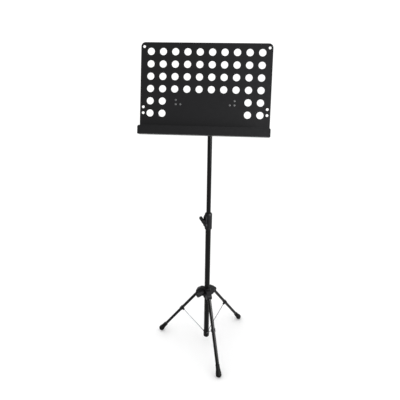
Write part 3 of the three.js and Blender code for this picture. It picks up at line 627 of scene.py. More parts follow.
def in_scene(name: str, data: Any) -> bpy.types.Object:
    """New object of a mesh, lamp or camera, linked to the scene."""
    made = bpy.data.objects.new(name, data)
    bpy.context.scene.collection.objects.link(made)
    return made


def settled(work: bpy.types.Object) -> bpy.types.Mesh:
    """New plain mesh of an object with its modifiers run. The object and its old mesh are removed."""
    bpy.context.view_layer.update()
    result = bpy.data.meshes.new_from_object(work.evaluated_get(bpy.context.evaluated_depsgraph_get()))
    old = work.data
    work.modifiers.clear()
    bpy.data.objects.remove(work)
    bpy.data.meshes.remove(old)
    return result


def evaluated(mesh: bpy.types.Mesh, modifiers: Sequence[tuple[str, dict[str, Any]]]) -> bpy.types.Mesh:
    """Runs modifiers on a mesh.

    Args:
        mesh: The mesh to change. It is removed.
        modifiers: Each modifier's type and settings.

    Returns:
        The new plain mesh.
    """
    work = in_scene("work", mesh)
    for kind, settings in modifiers:
        modifier = work.modifiers.new(kind.lower(), kind)
        for key, value in settings.items():
            setattr(modifier, key, value)
    return settled(work)


def carved(body: bpy.types.Mesh, how: Cut, *tools: bpy.types.Mesh) -> bpy.types.Mesh:
    """Joins tools to a body or cuts them from it.

    Args:
        body: The body.
        how: What the tools do.
        *tools: Closed meshes, removed afterwards.

    Returns:
        The new mesh.
    """
    objects = [in_scene("tool", tool) for tool in tools]
    settings = [("BOOLEAN", {"operation": how.value, "object": tool, "solver": "EXACT"}) for tool in objects]
    result = evaluated(body, settings)
    for tool, mesh in zip(objects, tools):
        bpy.data.objects.remove(tool)
        bpy.data.meshes.remove(mesh)
    return result


def soft_edged(mesh: bpy.types.Mesh, width: float, steps: int = 2, angle: float = 40.0) -> bpy.types.Mesh:
    """Rounds the edges that turn by more than an angle in degrees, by a width in mm."""
    bevel = {
        "width": width,
        "segments": steps,
        "limit_method": "ANGLE",
        "angle_limit": math.radians(angle),
        "use_clamp_overlap": True,
        "harden_normals": False,
    }
    return evaluated(mesh, [("BEVEL", bevel)])


# ---------------------------------------------------------------- finished pieces


@dataclass
class Piece:
    """What a finished piece is and what it stands for.

    Attributes:
        name: Name of its object.
        body: CAD body that it moves with.
        finish: Its material.
        nodes: CAD nodes that it replaces.
        smooth: Angle in degrees up to which its faces are shaded as one surface.
    """

    name: str
    body: str
    finish: Finish
    nodes: Sequence[str] = ()
    smooth: float = 38.0

    def add(self, mesh: bpy.types.Mesh, place: Matrix) -> bpy.types.Object:
        """Puts the piece into the scene.

        Args:
            mesh: Its mesh, in millimetres, in a local frame.
            place: Matrix from the local frame in millimetres to the row frame in metres.

        Returns:
            The new object, at the origin.
        """
        mesh.transform(place)
        mesh.name = self.name
        mesh.shade_smooth()
        mesh.set_sharp_from_angle(angle=math.radians(self.smooth))
        plain = evaluated(mesh, [("WEIGHTED_NORMAL", {"keep_sharp": True, "weight": 80})])
        plain.materials.clear()
        plain.materials.append(self.finish.material())
        thing = in_scene(self.name, plain)
        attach(thing, self.body)
        if self.nodes:
            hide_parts(*self.nodes)
        log.info("%s on %s: %d faces", self.name, self.body, len(plain.polygons))
        return thing


# ---------------------------------------------------------------- geometry nodes


def new_tree(name: str, sizes: dict[str, str]) -> tuple[bpy.types.NodeTree, Any, Any]:
    """Starts a geometry node tree.

    Args:
        name: Its name.
        sizes: Name and socket type of each input after the geometry.

    Returns:
        The tree, its input node and its output node.
    """
    tree = bpy.data.node_groups.new(name, "GeometryNodeTree")
    tree.interface.new_socket("Geometry", in_out="INPUT", socket_type="NodeSocketGeometry")
    for label, kind in sizes.items():
        tree.interface.new_socket(label, in_out="INPUT", socket_type=kind)
    tree.interface.new_socket("Geometry", in_out="OUTPUT", socket_type="NodeSocketGeometry")
    return tree, tree.nodes.new("NodeGroupInput"), tree.nodes.new("NodeGroupOutput")


def grown(mesh: bpy.types.Mesh, tree: bpy.types.NodeTree, values: dict[str, Any]) -> bpy.types.Mesh:
    """Runs a geometry node tree on a mesh.

    Args:
        mesh: Its input geometry. It is removed.
        tree: The tree.
        values: Value of each named input.

    Returns:
        The new plain mesh.
    """
    work = in_scene("work", mesh)
    modifier = work.modifiers.new("grow", "NODES")
    modifier.node_group = tree
    sockets = {item.name: item.identifier for item in tree.interface.items_tree if item.in_out == "INPUT"}
    for label, value in values.items():
        modifier[sockets[label]] = value
    return settled(work)


def dressed_result(tree: bpy.types.NodeTree, geometry: Any, source: Any, result: Any) -> None:
    """Gives the geometry the tree's Finish and sends it out."""
    inputs = {"Geometry": geometry, "Material": source.outputs["Finish"]}
    feed(tree, result, {"Geometry": add_node(tree, "GeometryNodeSetMaterial", inputs).outputs[0]})


def repeat_tree() -> bpy.types.NodeTree:
    """Tree that sets one fastener at every vertex of a pattern object."""
    made = bpy.data.node_groups.get("fasteners_at_places")
    if made is not None:
        return made
    tree, source, result = new_tree(
        "fasteners_at_places", {"Places": "NodeSocketObject", "Finish": "NodeSocketMaterial"}
    )
    places = add_node(tree, "GeometryNodeObjectInfo", {"Object": source.outputs["Places"]})
    copies = add_node(
        tree,
        "GeometryNodeInstanceOnPoints",
        {"Points": places.outputs["Geometry"], "Instance": source.outputs["Geometry"]},
    )
    real = add_node(tree, "GeometryNodeRealizeInstances", {"Geometry": copies.outputs["Instances"]})
    dressed_result(tree, real.outputs["Geometry"], source, result)
    return tree


def repeated(mesh: bpy.types.Mesh, places: Sequence[Vector], finish: Finish) -> bpy.types.Mesh:
    """Copies one fastener to several places.

    Args:
        mesh: The fastener, at the origin. It is removed.
        places: Where the copies go.
        finish: Their material.

    Returns:
        One mesh with all the copies.
    """
    pattern_mesh = bpy.data.meshes.new("pattern")
    pattern_mesh.from_pydata([tuple(place) for place in places], [], [])
    pattern = in_scene("pattern", pattern_mesh)
    result = grown(mesh, repeat_tree(), {"Places": pattern, "Finish": finish.material()})
    bpy.data.objects.remove(pattern)
    bpy.data.meshes.remove(pattern_mesh)
    return result


def domed_pin(
    shank: float, low: float, high: float, head: float, dome: float, both: bool = True
) -> bpy.types.Mesh:
    """Pin or rivet along Z with a domed head at its upper end, and at its lower end too if both is true."""
    rim = dome * 0.25
    steps = 7
    dome_points = [
        (head * math.cos(QUARTER * i / steps), rim + (dome - rim) * math.sin(QUARTER * i / steps))
        for i in range(steps)
    ]
    profile: Outline = [(0, low - dome)] if both else [(0, low)]
    if both:
        profile += [(radius, low - height) for radius, height in reversed(dome_points)]
        profile.append((head, low))
    profile += [(shank, low), (shank, high), (head, high)]
    profile += [(radius, high + height) for radius, height in dome_points]
    profile.append((0, high + dome))
    return turned(profile, 32)


def cross_screw(shank: float, low: float, high: float, head: float, dome: float) -> bpy.types.Mesh:
    """Pan-head screw along Z with a cross recess."""
    body = domed_pin(shank, low, high, head, dome, both=False)
    arm = head * 0.55
    bar = head * 0.13
    depth = dome * 0.55
    for half_x, half_y in ((arm, bar), (bar, arm)):
        outline = [(-half_x, -half_y), (half_x, -half_y), (half_x, half_y), (-half_x, half_y)]
        body = carved(body, Cut.REMOVE, prism(outline, high + dome - depth, high + dome + 1))
    return body


def fluted_grip(radius: float, length: float, flutes: int, depth: float) -> bpy.types.Mesh:
    """Round grip along Z from height 0, with flutes and well rounded ends."""
    edge = min(3.0, radius * 0.25)
    profile = [
        (0, 0),
        *arc((radius - 1, 1), 1, -QUARTER, 0, 4),
        (radius, length * 0.5),
        *arc((radius - edge, length - edge), edge, 0, QUARTER, 8),
        (radius * 0.5, length - 0.6),
        (0, length - 0.6),
    ]
    return turned(profile, flutes * 16, flutes, depth)


# ---------------------------------------------------------------- where things are


def joint(name: str) -> dict[str, Any]:
    """The record's joint of that name."""
    return next(j for j in frame["joints"] if j["name"] == name)


def mount(name: str) -> dict[str, Any]:
    """The record's mount of that name."""
    return next(m for m in frame["record"]["mounts"] if m["name"] == name)


def heading_of(axis: Sequence[float]) -> float:
    """Heading of a horizontal direction, in radians from +X."""
    return math.atan2(axis[1], axis[0])


COLUMN_AXIS = Vector((*joint("desk_swivel")["pos_m"][:2], 0.0))
TO_METRES = Matrix.Scale(MM, 4)
COLUMN_FRAME = Matrix.Translation(COLUMN_AXIS) @ TO_METRES
TILT_PIVOT = Vector(joint("desk_tilt")["pos_m"])
HEAD_FRAME = Matrix.Translation((COLUMN_AXIS.x, TILT_PIVOT.y, TILT_PIVOT.z)) @ TO_METRES


def radial_frame(heading: float, height: float) -> Matrix:
    """Frame on the column's axis at a height in metres, whose +Z points out along a heading."""
    return Matrix.Translation(COLUMN_AXIS + Vector((0, 0, height))) @ spin(heading) @ Axis.X.value @ TO_METRES


# ---------------------------------------------------------------- desk


@dataclass
class Desk:
    """Folded, punched sheet-steel desk with the channel and tongue behind it. Sizes in mm."""

    width: float = 480.0
    height: float = 335.0
    sheet: float = 1.2
    top_corner: float = 16.0
    shelf_depth: float = 40.0
    lip_height: float = 31.5
    lip_corner: float = 7.0
    bend: float = 2.6
    standoff: float = 63.6
    pivot_below_top: float = 184.4
    hole: float = 26.0
    pitch_across: float = 45.0
    pitch_down: float = 44.5
    first_row: float = 33.0
    columns: int = 10
    full_rows: int = 4
    side_rows: int = 2
    side_columns: int = 2
    edge_hole: float = 10.0
    edge_hole_inset: float = 12.0
    edge_holes_below_top: tuple[float, ...] = (16.0, 233.5, 255.0)
    rivets: tuple[tuple[float, float], ...] = ((108.0, 21.6), (108.0, 37.1), (91.0, 37.1))
    channel_length: float = 236.0
    channel_height: float = 46.0
    channel_sheet: float = 1.5
    channel_flange: float = 6.0
    channel_drop: float = 29.1
    tongue: float = 2.5
    tongue_end: float = 14.0
    bolt: float = 3.0
    weld: float = 2.2
    foot_width: float = 36.0
    foot_height: float = 32.0
    screw_half_span: float = 11.0

    def __post_init__(self) -> None:
        """Works out the desk's frame and the layers behind the plate."""
        lo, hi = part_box("desk_plate")
        upwards = mount("shelf_face")["axis"]
        lean = math.atan2(upwards[1], upwards[2])
        middle = Vector(((lo.x + hi.x) / 2, TILT_PIVOT.y, TILT_PIVOT.z))
        self.place = Matrix.Translation(middle) @ spin(-lean, "X") @ TO_METRES
        self.plate_back = self.sheet - self.standoff
        self.channel_front = self.plate_back + GAP
        self.channel_back = self.channel_front + self.channel_sheet
        self.tongue_front = self.channel_back + GAP
        self.tongue_back = self.tongue_front + self.tongue

    def folded_sheet(self) -> bpy.types.Mesh:
        """Plate, shelf and lip as one folded strip, before it is punched."""
        front, back = -self.standoff, self.plate_back
        top = self.pivot_below_top
        floor = top - self.height
        lip_front = front - self.shelf_depth
        lip_back = lip_front + self.sheet
        outer, inner = self.bend, self.bend - self.sheet
        profile = [
            (back, top),
            (front, top),
            *arc((front - inner, floor + outer), inner, 0, -QUARTER),
            *arc((lip_back + inner, floor + outer), inner, -QUARTER, -math.pi),
            (lip_back, floor + self.lip_height),
            (lip_front, floor + self.lip_height),
            *arc((lip_front + outer, floor + outer), outer, math.pi, 1.5 * math.pi),
            *arc((back - outer, floor + outer), outer, -QUARTER, 0),
        ]
        return across(profile, self.width)

    def corner_tool(self, side: int, radius: float, top: float, y: float) -> bpy.types.Mesh:
        """Tool that rounds one upper corner of the plate or lip."""
        x = self.width / 2 - radius
        outline = [
            (side * x, top + PAST),
            *((side * a, b) for a, b in arc((x, top - radius), radius, QUARTER, 0, 16)),
            (side * (x + radius + PAST), top - radius),
            (side * (x + radius + PAST), top + PAST),
        ]
        return moved(through(outline, self.sheet + 2 * PAST), shift(y=y))

    def punch_tree(self) -> bpy.types.NodeTree:
        """Tree that punches the round holes: full rows, side rows and edge holes."""
        labels = (
            "Hole radius",
            "Edge hole radius",
            "Pitch across",
            "Pitch down",
            "First row",
            "Sheet place",
        )
        sizes = {label: "NodeSocketFloat" for label in labels}
        tree, source, result = new_tree("punched_sheet", {**sizes, "Finish": "NodeSocketMaterial"})
        upright = (QUARTER, 0.0, 0.0)
        across_pitch, down_pitch = source.outputs["Pitch across"], source.outputs["Pitch down"]

        def times(value: Any, factor: float) -> Any:
            """Output of a value times a number."""
            return combined(tree, "MULTIPLY", value, factor)

        def plus(a: Any, b: Any) -> Any:
            """Output of a sum."""
            return combined(tree, "ADD", a, b)

        def field_of_holes(columns: int, rows: int, x: Any, first: Any) -> Any:
            """Grid of points whose top row is at the height first and whose middle is at x."""
            counts = {"Vertices X": columns, "Vertices Y": rows}
            sizes = {"Size X": times(across_pitch, columns - 1), "Size Y": times(down_pitch, rows - 1)}
            grid = add_node(tree, "GeometryNodeMeshGrid", {**sizes, **counts}).outputs["Mesh"]
            middle = plus(first, times(down_pitch, -(rows - 1) / 2))
            spot = {"X": x, "Y": source.outputs["Sheet place"], "Z": middle}
            place = add_node(tree, "ShaderNodeCombineXYZ", spot).outputs[0]
            move = {"Geometry": grid, "Translation": place, "Rotation": upright}
            return add_node(tree, "GeometryNodeTransform", move).outputs[0]

        first_row = source.outputs["First row"]
        side_first = plus(first_row, times(down_pitch, -self.full_rows))
        side_x = (self.columns - self.side_columns) / 2
        fields = [field_of_holes(self.columns, self.full_rows, 0.0, first_row)]
        for side in (-side_x, side_x):
            x = times(across_pitch, side)
            fields.append(field_of_holes(self.side_columns, self.side_rows, x, side_first))
        edge_fields = []
        reach = self.width / 2 - self.edge_hole_inset
        for below in self.edge_holes_below_top:
            start = (-reach, 0, self.pivot_below_top - below)
            pair = {"Count": 2, "Start Location": start, "Offset": (2 * reach, 0, 0)}
            row = add_node(tree, "GeometryNodeMeshLine", pair).outputs["Mesh"]
            spot = add_node(tree, "ShaderNodeCombineXYZ", {"Y": source.outputs["Sheet place"]}).outputs[0]
            move = {"Geometry": row, "Translation": spot}
            edge_fields.append(add_node(tree, "GeometryNodeTransform", move).outputs[0])
        punches = add_node(tree, "GeometryNodeJoinGeometry")
        for points, radius, sides in ((fields, "Hole radius", 56), (edge_fields, "Edge hole radius", 32)):
            pattern = add_node(tree, "GeometryNodeJoinGeometry")
            for output in points:
                tree.links.new(output, pattern.inputs[0])
            size = {"Vertices": sides, "Radius": source.outputs[radius], "Depth": 2 * PAST}
            punch = add_node(tree, "GeometryNodeMeshCylinder", size).outputs["Mesh"]
            copies = add_node(
                tree,
                "GeometryNodeInstanceOnPoints",
                {"Points": pattern.outputs[0], "Instance": punch, "Rotation": upright},
            )
            tree.links.new(copies.outputs["Instances"], punches.inputs[0])
        real = add_node(tree, "GeometryNodeRealizeInstances", {"Geometry": punches.outputs[0]})
        punched = add_node(tree, "GeometryNodeMeshBoolean", operation="DIFFERENCE", solver="EXACT")
        tree.links.new(source.outputs["Geometry"], punched.inputs["Mesh 1"])
        tree.links.new(real.outputs[0], punched.inputs["Mesh 2"])
        dressed_result(tree, punched.outputs["Mesh"], source, result)
        return tree

    def panel(self) -> None:
        """The folded and punched sheet."""
        sheet_middle = (self.plate_back - self.standoff) / 2
        lip_middle = self.sheet / 2 - self.standoff - self.shelf_depth
        lip_top = self.pivot_below_top - self.height + self.lip_height
        tools = []
        for side in (-1, 1):
            tools.append(self.corner_tool(side, self.top_corner, self.pivot_below_top, sheet_middle))
            tools.append(self.corner_tool(side, self.lip_corner, lip_top, lip_middle))
        sheet = carved(self.folded_sheet(), Cut.REMOVE, *tools)
        punched = grown(
            sheet,
            self.punch_tree(),
            {
                "Hole radius": self.hole / 2,
                "Edge hole radius": self.edge_hole / 2,
                "Pitch across": self.pitch_across,
                "Pitch down": self.pitch_down,
                "First row": self.pivot_below_top - self.first_row,
                "Sheet place": sheet_middle,
                "Finish": SHEET_COAT.material(),
            },
        )
        mesh = soft_edged(punched, 0.3, 2, 50.0)
        Piece("desk_panel", "desk", SHEET_COAT, ["desk_plate"]).add(mesh, self.place)

    def rivet_places(self) -> list[Vector]:
        """Where the rivets sit, in the desk's frame, on the plate's front face."""
        return [Vector((side * x, -self.standoff, -below)) for side in (-1, 1) for x, below in self.rivets]

    def rivet_set(self) -> None:
        """Six domed rivets through the plate and the channel."""
        grip = self.channel_back + self.standoff + SNUG
        rivet = moved(domed_pin(2.0, 0.0, grip, 4.0, 1.6), Axis.Y.value)
        # The rivets' paler coat is a painted highlight for the glint on their domes.
        mesh = repeated(rivet, self.rivet_places(), RIVET_COAT_PAINTED_HIGHLIGHT)
        nodes = [f"desk_rivet_{i + 1}" for i, _ in enumerate(self.rivet_places())]
        Piece("desk_rivets", "desk", RIVET_COAT_PAINTED_HIGHLIGHT, nodes).add(mesh, self.place)

    def channel(self) -> None:
        """Pressed channel behind the plate, with rounded bends."""
        half = self.channel_height / 2
        front, back, tail = self.channel_front, self.channel_back, self.channel_back + self.channel_flange
        t = self.channel_sheet
        profile = filleted(
            [
                (front, -half, 2.5),
                (tail, -half, 0),
                (tail, t - half, 0),
                (back, t - half, 1.0),
                (back, half - t, 1.0),
                (tail, half - t, 0),
                (tail, half, 0),
                (front, half, 2.5),
            ]
        )
        mesh = moved(across(profile, self.channel_length), shift(z=-self.channel_drop))
        mesh = soft_edged(mesh, 0.3, 2, 50.0)
        Piece("rear_channel", "desk", SHEET_COAT, ["desk_crossbar"]).add(mesh, self.place)

    def tilt_tongue(self) -> None:
        """Foot flange with the upright pivot plate, welded as one."""
        low = -self.channel_drop - self.foot_height / 2
        high = low + self.foot_height
        half = self.foot_width / 2
        flange_outline = filleted([(-half, low, 3), (half, low, 3), (half, high, 3), (-half, high, 3)])
        middle = (self.tongue_front + self.tongue_back) / 2
        flange = moved(through(flange_outline, self.tongue), shift(y=middle))
        reach = self.tongue_end * 0.7071
        web = across(
            [
                (self.tongue_front + HAIR, low + 1),
                (reach, -reach),
                *arc((0, 0), self.tongue_end, -QUARTER / 2, 1.5 * QUARTER, 16),
                (self.tongue_front + HAIR, high - 1),
            ],
            self.tongue,
        )
        root = 0.2
        welds = []
        for side in (-1, 1):
            x = side * self.tongue / 2
            bead = prism(
                [
                    (x - side * root, self.tongue_back - root),
                    (x + side * self.weld, self.tongue_back - root),
                    (x + side * self.weld * 0.35, self.tongue_back + self.weld * 0.35),
                    (x - side * root, self.tongue_back + self.weld),
                ],
                low + 2,
                high - 3,
            )
            welds.append(bead)
        bore = moved(bore_tool(self.bolt + SNUG, -self.tongue - PAST, self.tongue + PAST), Axis.X.value)
        mesh = carved(carved(flange, Cut.JOIN, web, *welds), Cut.REMOVE, bore)
        mesh = soft_edged(mesh, 0.35, 2, 45.0)
        Piece("tilt_tongue_plate", "desk", SHEET_COAT, ["tilt_tongue"]).add(mesh, self.place)

    def tongue_screws(self) -> None:
        """Two pan-head screws that hold the tongue's foot."""
        head_face = self.tongue_back + SNUG
        screw = cross_screw(2.0, self.channel_front, head_face, 3.8, 2.0)
        screw = moved(screw, Matrix.Scale(-1, 4, (1, 0, 0)), Axis.Y.value)
        screw.flip_normals()
        places = [Vector((side * self.screw_half_span, 0, -self.channel_drop)) for side in (-1, 1)]
        mesh = repeated(screw, places, BLACK_ZINC)
        Piece("tongue_screws", "desk", BLACK_ZINC, ["tongue_screw_1", "tongue_screw_2"]).add(mesh, self.place)

    def build(self) -> None:
        """Makes every piece of the desk."""
        self.panel()
        self.rivet_set()
        self.channel()
        self.tilt_tongue()
        self.tongue_screws()


# ---------------------------------------------------------------- tilt head


@dataclass
class TiltHead:
    """Moulded head on the upper tube with its bolt, washer and knob. Sizes in mm."""

    socket: float = 12.5
    barrel: float = 13.0
    barrel_right: float = 13.5
    depth: float = 34.0
    tube_below: float = 17.0
    tube: float = 9.5
    beside: float = 17.5
    tongue: float = 2.5
    bolt: float = 3.0
    bolt_head: float = 7.0
    washer: float = 11.0
    washer_thickness: float = 1.6
    nut_pocket: float = 6.1
    knob: float = 17.0
    knob_length: float = 20.0
    knob_flutes: int = 6

    def casting(self) -> None:
        """The head itself: tube socket with a wider band round its foot, and the cross barrel with rounded ends.
        """
        left = self.tongue / 2 + 2 * GAP + self.washer_thickness - self.beside
        socket = turned(
            [
                (0, -self.depth),
                *arc((self.socket - 1.2, 1.2 - self.depth), 1.2, -QUARTER, 0, 5),
                (self.socket, -self.depth + 6),
                *arc((self.socket - 0.5, -self.depth + 7), 0.5, -QUARTER, QUARTER, 4),
                (self.socket - 0.5, 0),
                (0, 0),
            ],
            72,
        )
        barrel = moved(
            turned(rounded_profile(left, self.barrel_right, self.barrel, 0.8), 72),
            Axis.X.value,
        )
        tube_bore = bore_tool(self.tube + SNUG, -self.depth - PAST, GAP - self.tube_below, 72)
        bolt_bore = bore_tool(self.bolt + RUN, left - PAST, self.barrel_right + PAST, 48)
        bolt_bore = moved(bolt_bore, Axis.X.value)
        mesh = carved(carved(socket, Cut.JOIN, barrel), Cut.REMOVE, tube_bore, bolt_bore)
        Piece("tilt_head_casting", "upper_column", NYLON, ["tilt_head"]).add(mesh, HEAD_FRAME)

    def fixing_screw(self) -> None:
        """Screw through the back of the socket."""
        screw = cross_screw(2.0, self.tube + SNUG, self.socket + SNUG, 3.8, 2.0)
        screw = moved(screw, Axis.Y.value, shift(z=-(self.depth + self.tube_below) / 2))
        Piece("head_fixing_screw", "upper_column", BLACK_ZINC, ["head_screw"]).add(screw, HEAD_FRAME)

    def bolt_and_washer(self, desk: Desk) -> None:
        """Carriage bolt that turns with the desk, and the friction washer on it."""
        start = -self.tongue / 2 - SNUG
        end = self.beside + self.barrel_right + GAP + self.knob_length - 5
        head = domed_pin(self.bolt, -end, -start, self.bolt_head, 3.0, both=False)
        mesh = moved(head, spin(math.pi, "X"), Axis.X.value)
        Piece("tilt_carriage_bolt", "desk", BLACK_ZINC, ["tilt_bolt"]).add(mesh, desk.place)
        low = self.tongue / 2 + GAP
        high = low + self.washer_thickness
        inner = self.bolt + SNUG
        rim = rounded_profile(low, high, self.washer, 0.4, 3)[1:-1]
        washer = turned([(inner, low), *rim, (inner, high), (inner, low)])
        Piece("friction_washer", "desk", NYLON, ["tilt_washer"]).add(moved(washer, Axis.X.value), desk.place)

    def knob_piece(self) -> None:
        """Six-lobed knob with a blind pocket for its nut."""
        grip = fluted_grip(self.knob, self.knob_length, self.knob_flutes, 3.0)
        bore = bore_tool(self.nut_pocket, -1, self.knob_length - 4, 48)
        place = shift(x=self.barrel_right + GAP)
        mesh = moved(carved(grip, Cut.REMOVE, bore), Axis.X.value, place)
        Piece("tilt_knob_grip", "tilt_knob", NYLON, ["tilt_knob"]).add(mesh, HEAD_FRAME)

    def build(self, desk: Desk) -> None:
        """Makes every piece of the head."""
        self.casting()
        self.fixing_screw()
        self.bolt_and_washer(desk)
        self.knob_piece()


# ---------------------------------------------------------------- column


@dataclass
class Column:
    """Two round tubes, the height clamp on the lower one, and the end piece.

    Sizes are in mm, and heights are from the floor.
    """

    upper: float = 9.5
    upper_wall: float = 1.0
    lower: float = 12.0
    lower_wall: float = 1.2
    casing: float = 16.0
    lower_top: float = 636.0
    casing_bottom: float = 608.5
    casing_top: float = 687.0
    chamfer: float = 5.0
    groove_at: float = 9.0
    groove_depth: float = 0.5
    screw: float = 3.0
    boss_half_width: float = 9.0
    boss_reach: float = 20.5
    boss_bottom: float = 628.0
    boss_top: float = 682.0
    boss_slope: float = 12.0
    wing_half_span: float = 28.0
    wing_tip: float = 8.5
    wing_thickness: float = 9.0
    wing_hub: float = 8.0
    wing_hub_length: float = 11.0
    wing_turn: float = math.radians(60)
    end_radius: float = 13.6
    end_core: float = 8.0
    slot: float = 4.0
    slot_bottom: float = 33.0
    end_top: float = 62.0
    plug_length: float = 26.0
    tip_height: float = 11.0

    def tube(self, name: str, node: str, body: str, radius: float, wall: float) -> None:
        """A round tube with slightly broken end edges."""
        lo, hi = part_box(node)
        low, high = lo.z / MM, hi.z / MM
        edge = 0.3
        profile = [
            (radius - wall, low),
            (radius - edge, low),
            (radius, low + edge),
            (radius, high - edge),
            (radius - edge, high),
            (radius - wall, high),
            (radius - wall, low),
        ]
        Piece(name, body, TUBE_COAT, [node]).add(turned(profile, 72), COLUMN_FRAME)

    def clamp_casing(self) -> None:
        """Casing round both tubes, with the rib that takes the wing screw."""
        low, high, radius, chamfer = self.casing_bottom, self.casing_top, self.casing, self.chamfer
        edge = 0.6
        shoulder = radius - chamfer * 0.6 - edge
        groove = [
            (radius, self.groove_at),
            (radius - self.groove_depth, self.groove_at + 0.6),
            (radius - self.groove_depth, self.groove_at + 1.6),
            (radius, self.groove_at + 2.2),
        ]
        shell = turned(
            [
                (0, low),
                *arc((shoulder, low + edge), edge, -QUARTER, -QUARTER / 2, 3),
                (radius, low + chamfer),
                *((reach, low + z) for reach, z in groove),
                *((reach, high - z) for reach, z in reversed(groove)),
                (radius, high - chamfer),
                *arc((shoulder, high - edge), edge, QUARTER / 2, QUARTER, 3),
                (0, high),
            ],
            96,
        )
        rib_outline = filleted(
            [
                (2, self.boss_bottom - self.boss_slope / 2, 0),
                (radius - 2, self.boss_bottom - self.boss_slope / 2, 1),
                (self.boss_reach, self.boss_bottom, 6),
                (self.boss_reach, self.boss_top - self.boss_slope, 8),
                (radius - 4, self.boss_top, 4),
                (2, self.boss_top, 0),
            ]
        )
        rib = soft_edged(through(rib_outline, 2 * self.boss_half_width), 2.5, 5, 60.0)
        wing = joint("height_wing_turn")
        height = wing["pos_m"][2] / MM
        screw_bore = bore_tool(self.screw + RUN, self.upper / 2, self.boss_reach + PAST, 48)
        tools = [
            bore_tool(self.lower + RUN, low - PAST, self.lower_top + GAP, 96),
            bore_tool(self.upper + GAP, low + PAST, high + PAST, 96),
            moved(screw_bore, Axis.X.value, shift(z=height)),
        ]
        mesh = carved(carved(shell, Cut.JOIN, rib), Cut.REMOVE, *tools)
        turn = spin(heading_of(wing["axis"]))
        Piece("height_clamp_casing", "column", NYLON, ["height_clamp_body"]).add(mesh, COLUMN_FRAME @ turn)

    def wing_screw(self) -> None:
        """Wing grip moulded on its screw."""
        wing = joint("height_wing_turn")
        place = radial_frame(heading_of(wing["axis"]), wing["pos_m"][2])
        tip_at = self.wing_half_span - self.wing_tip
        waist, shoulder = self.wing_tip - 1.4, self.wing_hub * 0.8
        blade_outline = [
            *arc((tip_at, 0), self.wing_tip, -QUARTER * 1.25, QUARTER * 1.25, 20),
            (shoulder, waist),
            (-shoulder, waist),
            *arc((-tip_at, 0), self.wing_tip, QUARTER * 0.75, QUARTER * 3.25, 20),
            (-shoulder, -waist),
            (shoulder, -waist),
        ]
        high = self.wing_hub_length
        blades = soft_edged(prism(blade_outline, high - self.wing_thickness, high), 2.0, 5, 50.0)
        core = turned(
            [
                (0, 0),
                *arc((self.wing_hub - 1.4, 0.8), 0.8, -QUARTER, 0, 4),
                (self.wing_hub, high - 4),
                *arc((self.wing_hub - 2, high - 2), 2.0, 0, QUARTER, 5),
                (0, high),
            ],
            56,
        )
        bore = bore_tool(self.screw + SNUG, -1, high - 3)
        mesh = carved(carved(core, Cut.JOIN, blades), Cut.REMOVE, bore)
        mesh = moved(mesh, spin(self.wing_turn), shift(z=self.boss_reach + GAP))
        Piece("height_wing_grip", "height_wing", NYLON, ["height_wing"]).add(mesh, place)

    def end_piece(self, headings: Sequence[float]) -> None:
        """Slotted end piece for the struts' lower eyes, and the domed tip under it."""
        plug = self.lower - self.lower_wall - SNUG
        body = turned(
            [
                (0, self.slot_bottom),
                *arc((self.end_radius - 0.5, self.slot_bottom + 0.5), 0.5, -QUARTER, 0, 3),
                *arc((self.end_radius - 1.4, self.end_top - 1.4), 1.4, 0, QUARTER, 5),
                (plug, self.end_top),
                (plug, self.end_top + self.plug_length - 1),
                (plug - 1, self.end_top + self.plug_length),
                (0, self.end_top + self.plug_length),
            ],
            72,
        )
        slots = []
        half, outside = self.slot / 2, self.end_radius + PAST
        outline = [(self.end_core, -half), (outside, -half), (outside, half), (self.end_core, half)]
        for heading in headings:
            slots.append(moved(prism(outline, self.slot_bottom - PAST, self.end_top + GAP), spin(heading)))
        mesh = soft_edged(carved(body, Cut.REMOVE, *slots), 0.35, 2, 50.0)
        Piece("column_end_spreader", "column", NYLON, ["column_spreader"]).add(mesh, COLUMN_FRAME)
        top = self.slot_bottom - GAP
        bottom = top - self.tip_height
        steps = 12
        dome = [
            (
                self.end_radius * math.sin(QUARTER * i / steps),
                bottom + self.tip_height * 0.8 * (1 - math.cos(QUARTER * i / steps)),
            )
            for i in range(1, steps + 1)
        ]
        rim = arc((self.end_radius - 0.6, top - 0.6), 0.6, 0, QUARTER, 3)
        tip = turned([(0, bottom), *dome, *rim, (0, top)], 72)
        Piece("column_end_tip", "column", NYLON, ["column_tip"]).add(tip, COLUMN_FRAME)

    def build(self, headings: Sequence[float]) -> None:
        """Makes every piece of the column."""
        self.tube("lower_column_tube", "lower_tube", "column", self.lower, self.lower_wall)
        self.tube("upper_column_tube", "upper_tube", "upper_column", self.upper, self.upper_wall)
        self.clamp_casing()
        self.wing_screw()
        self.end_piece(headings)


# ---------------------------------------------------------------- hub


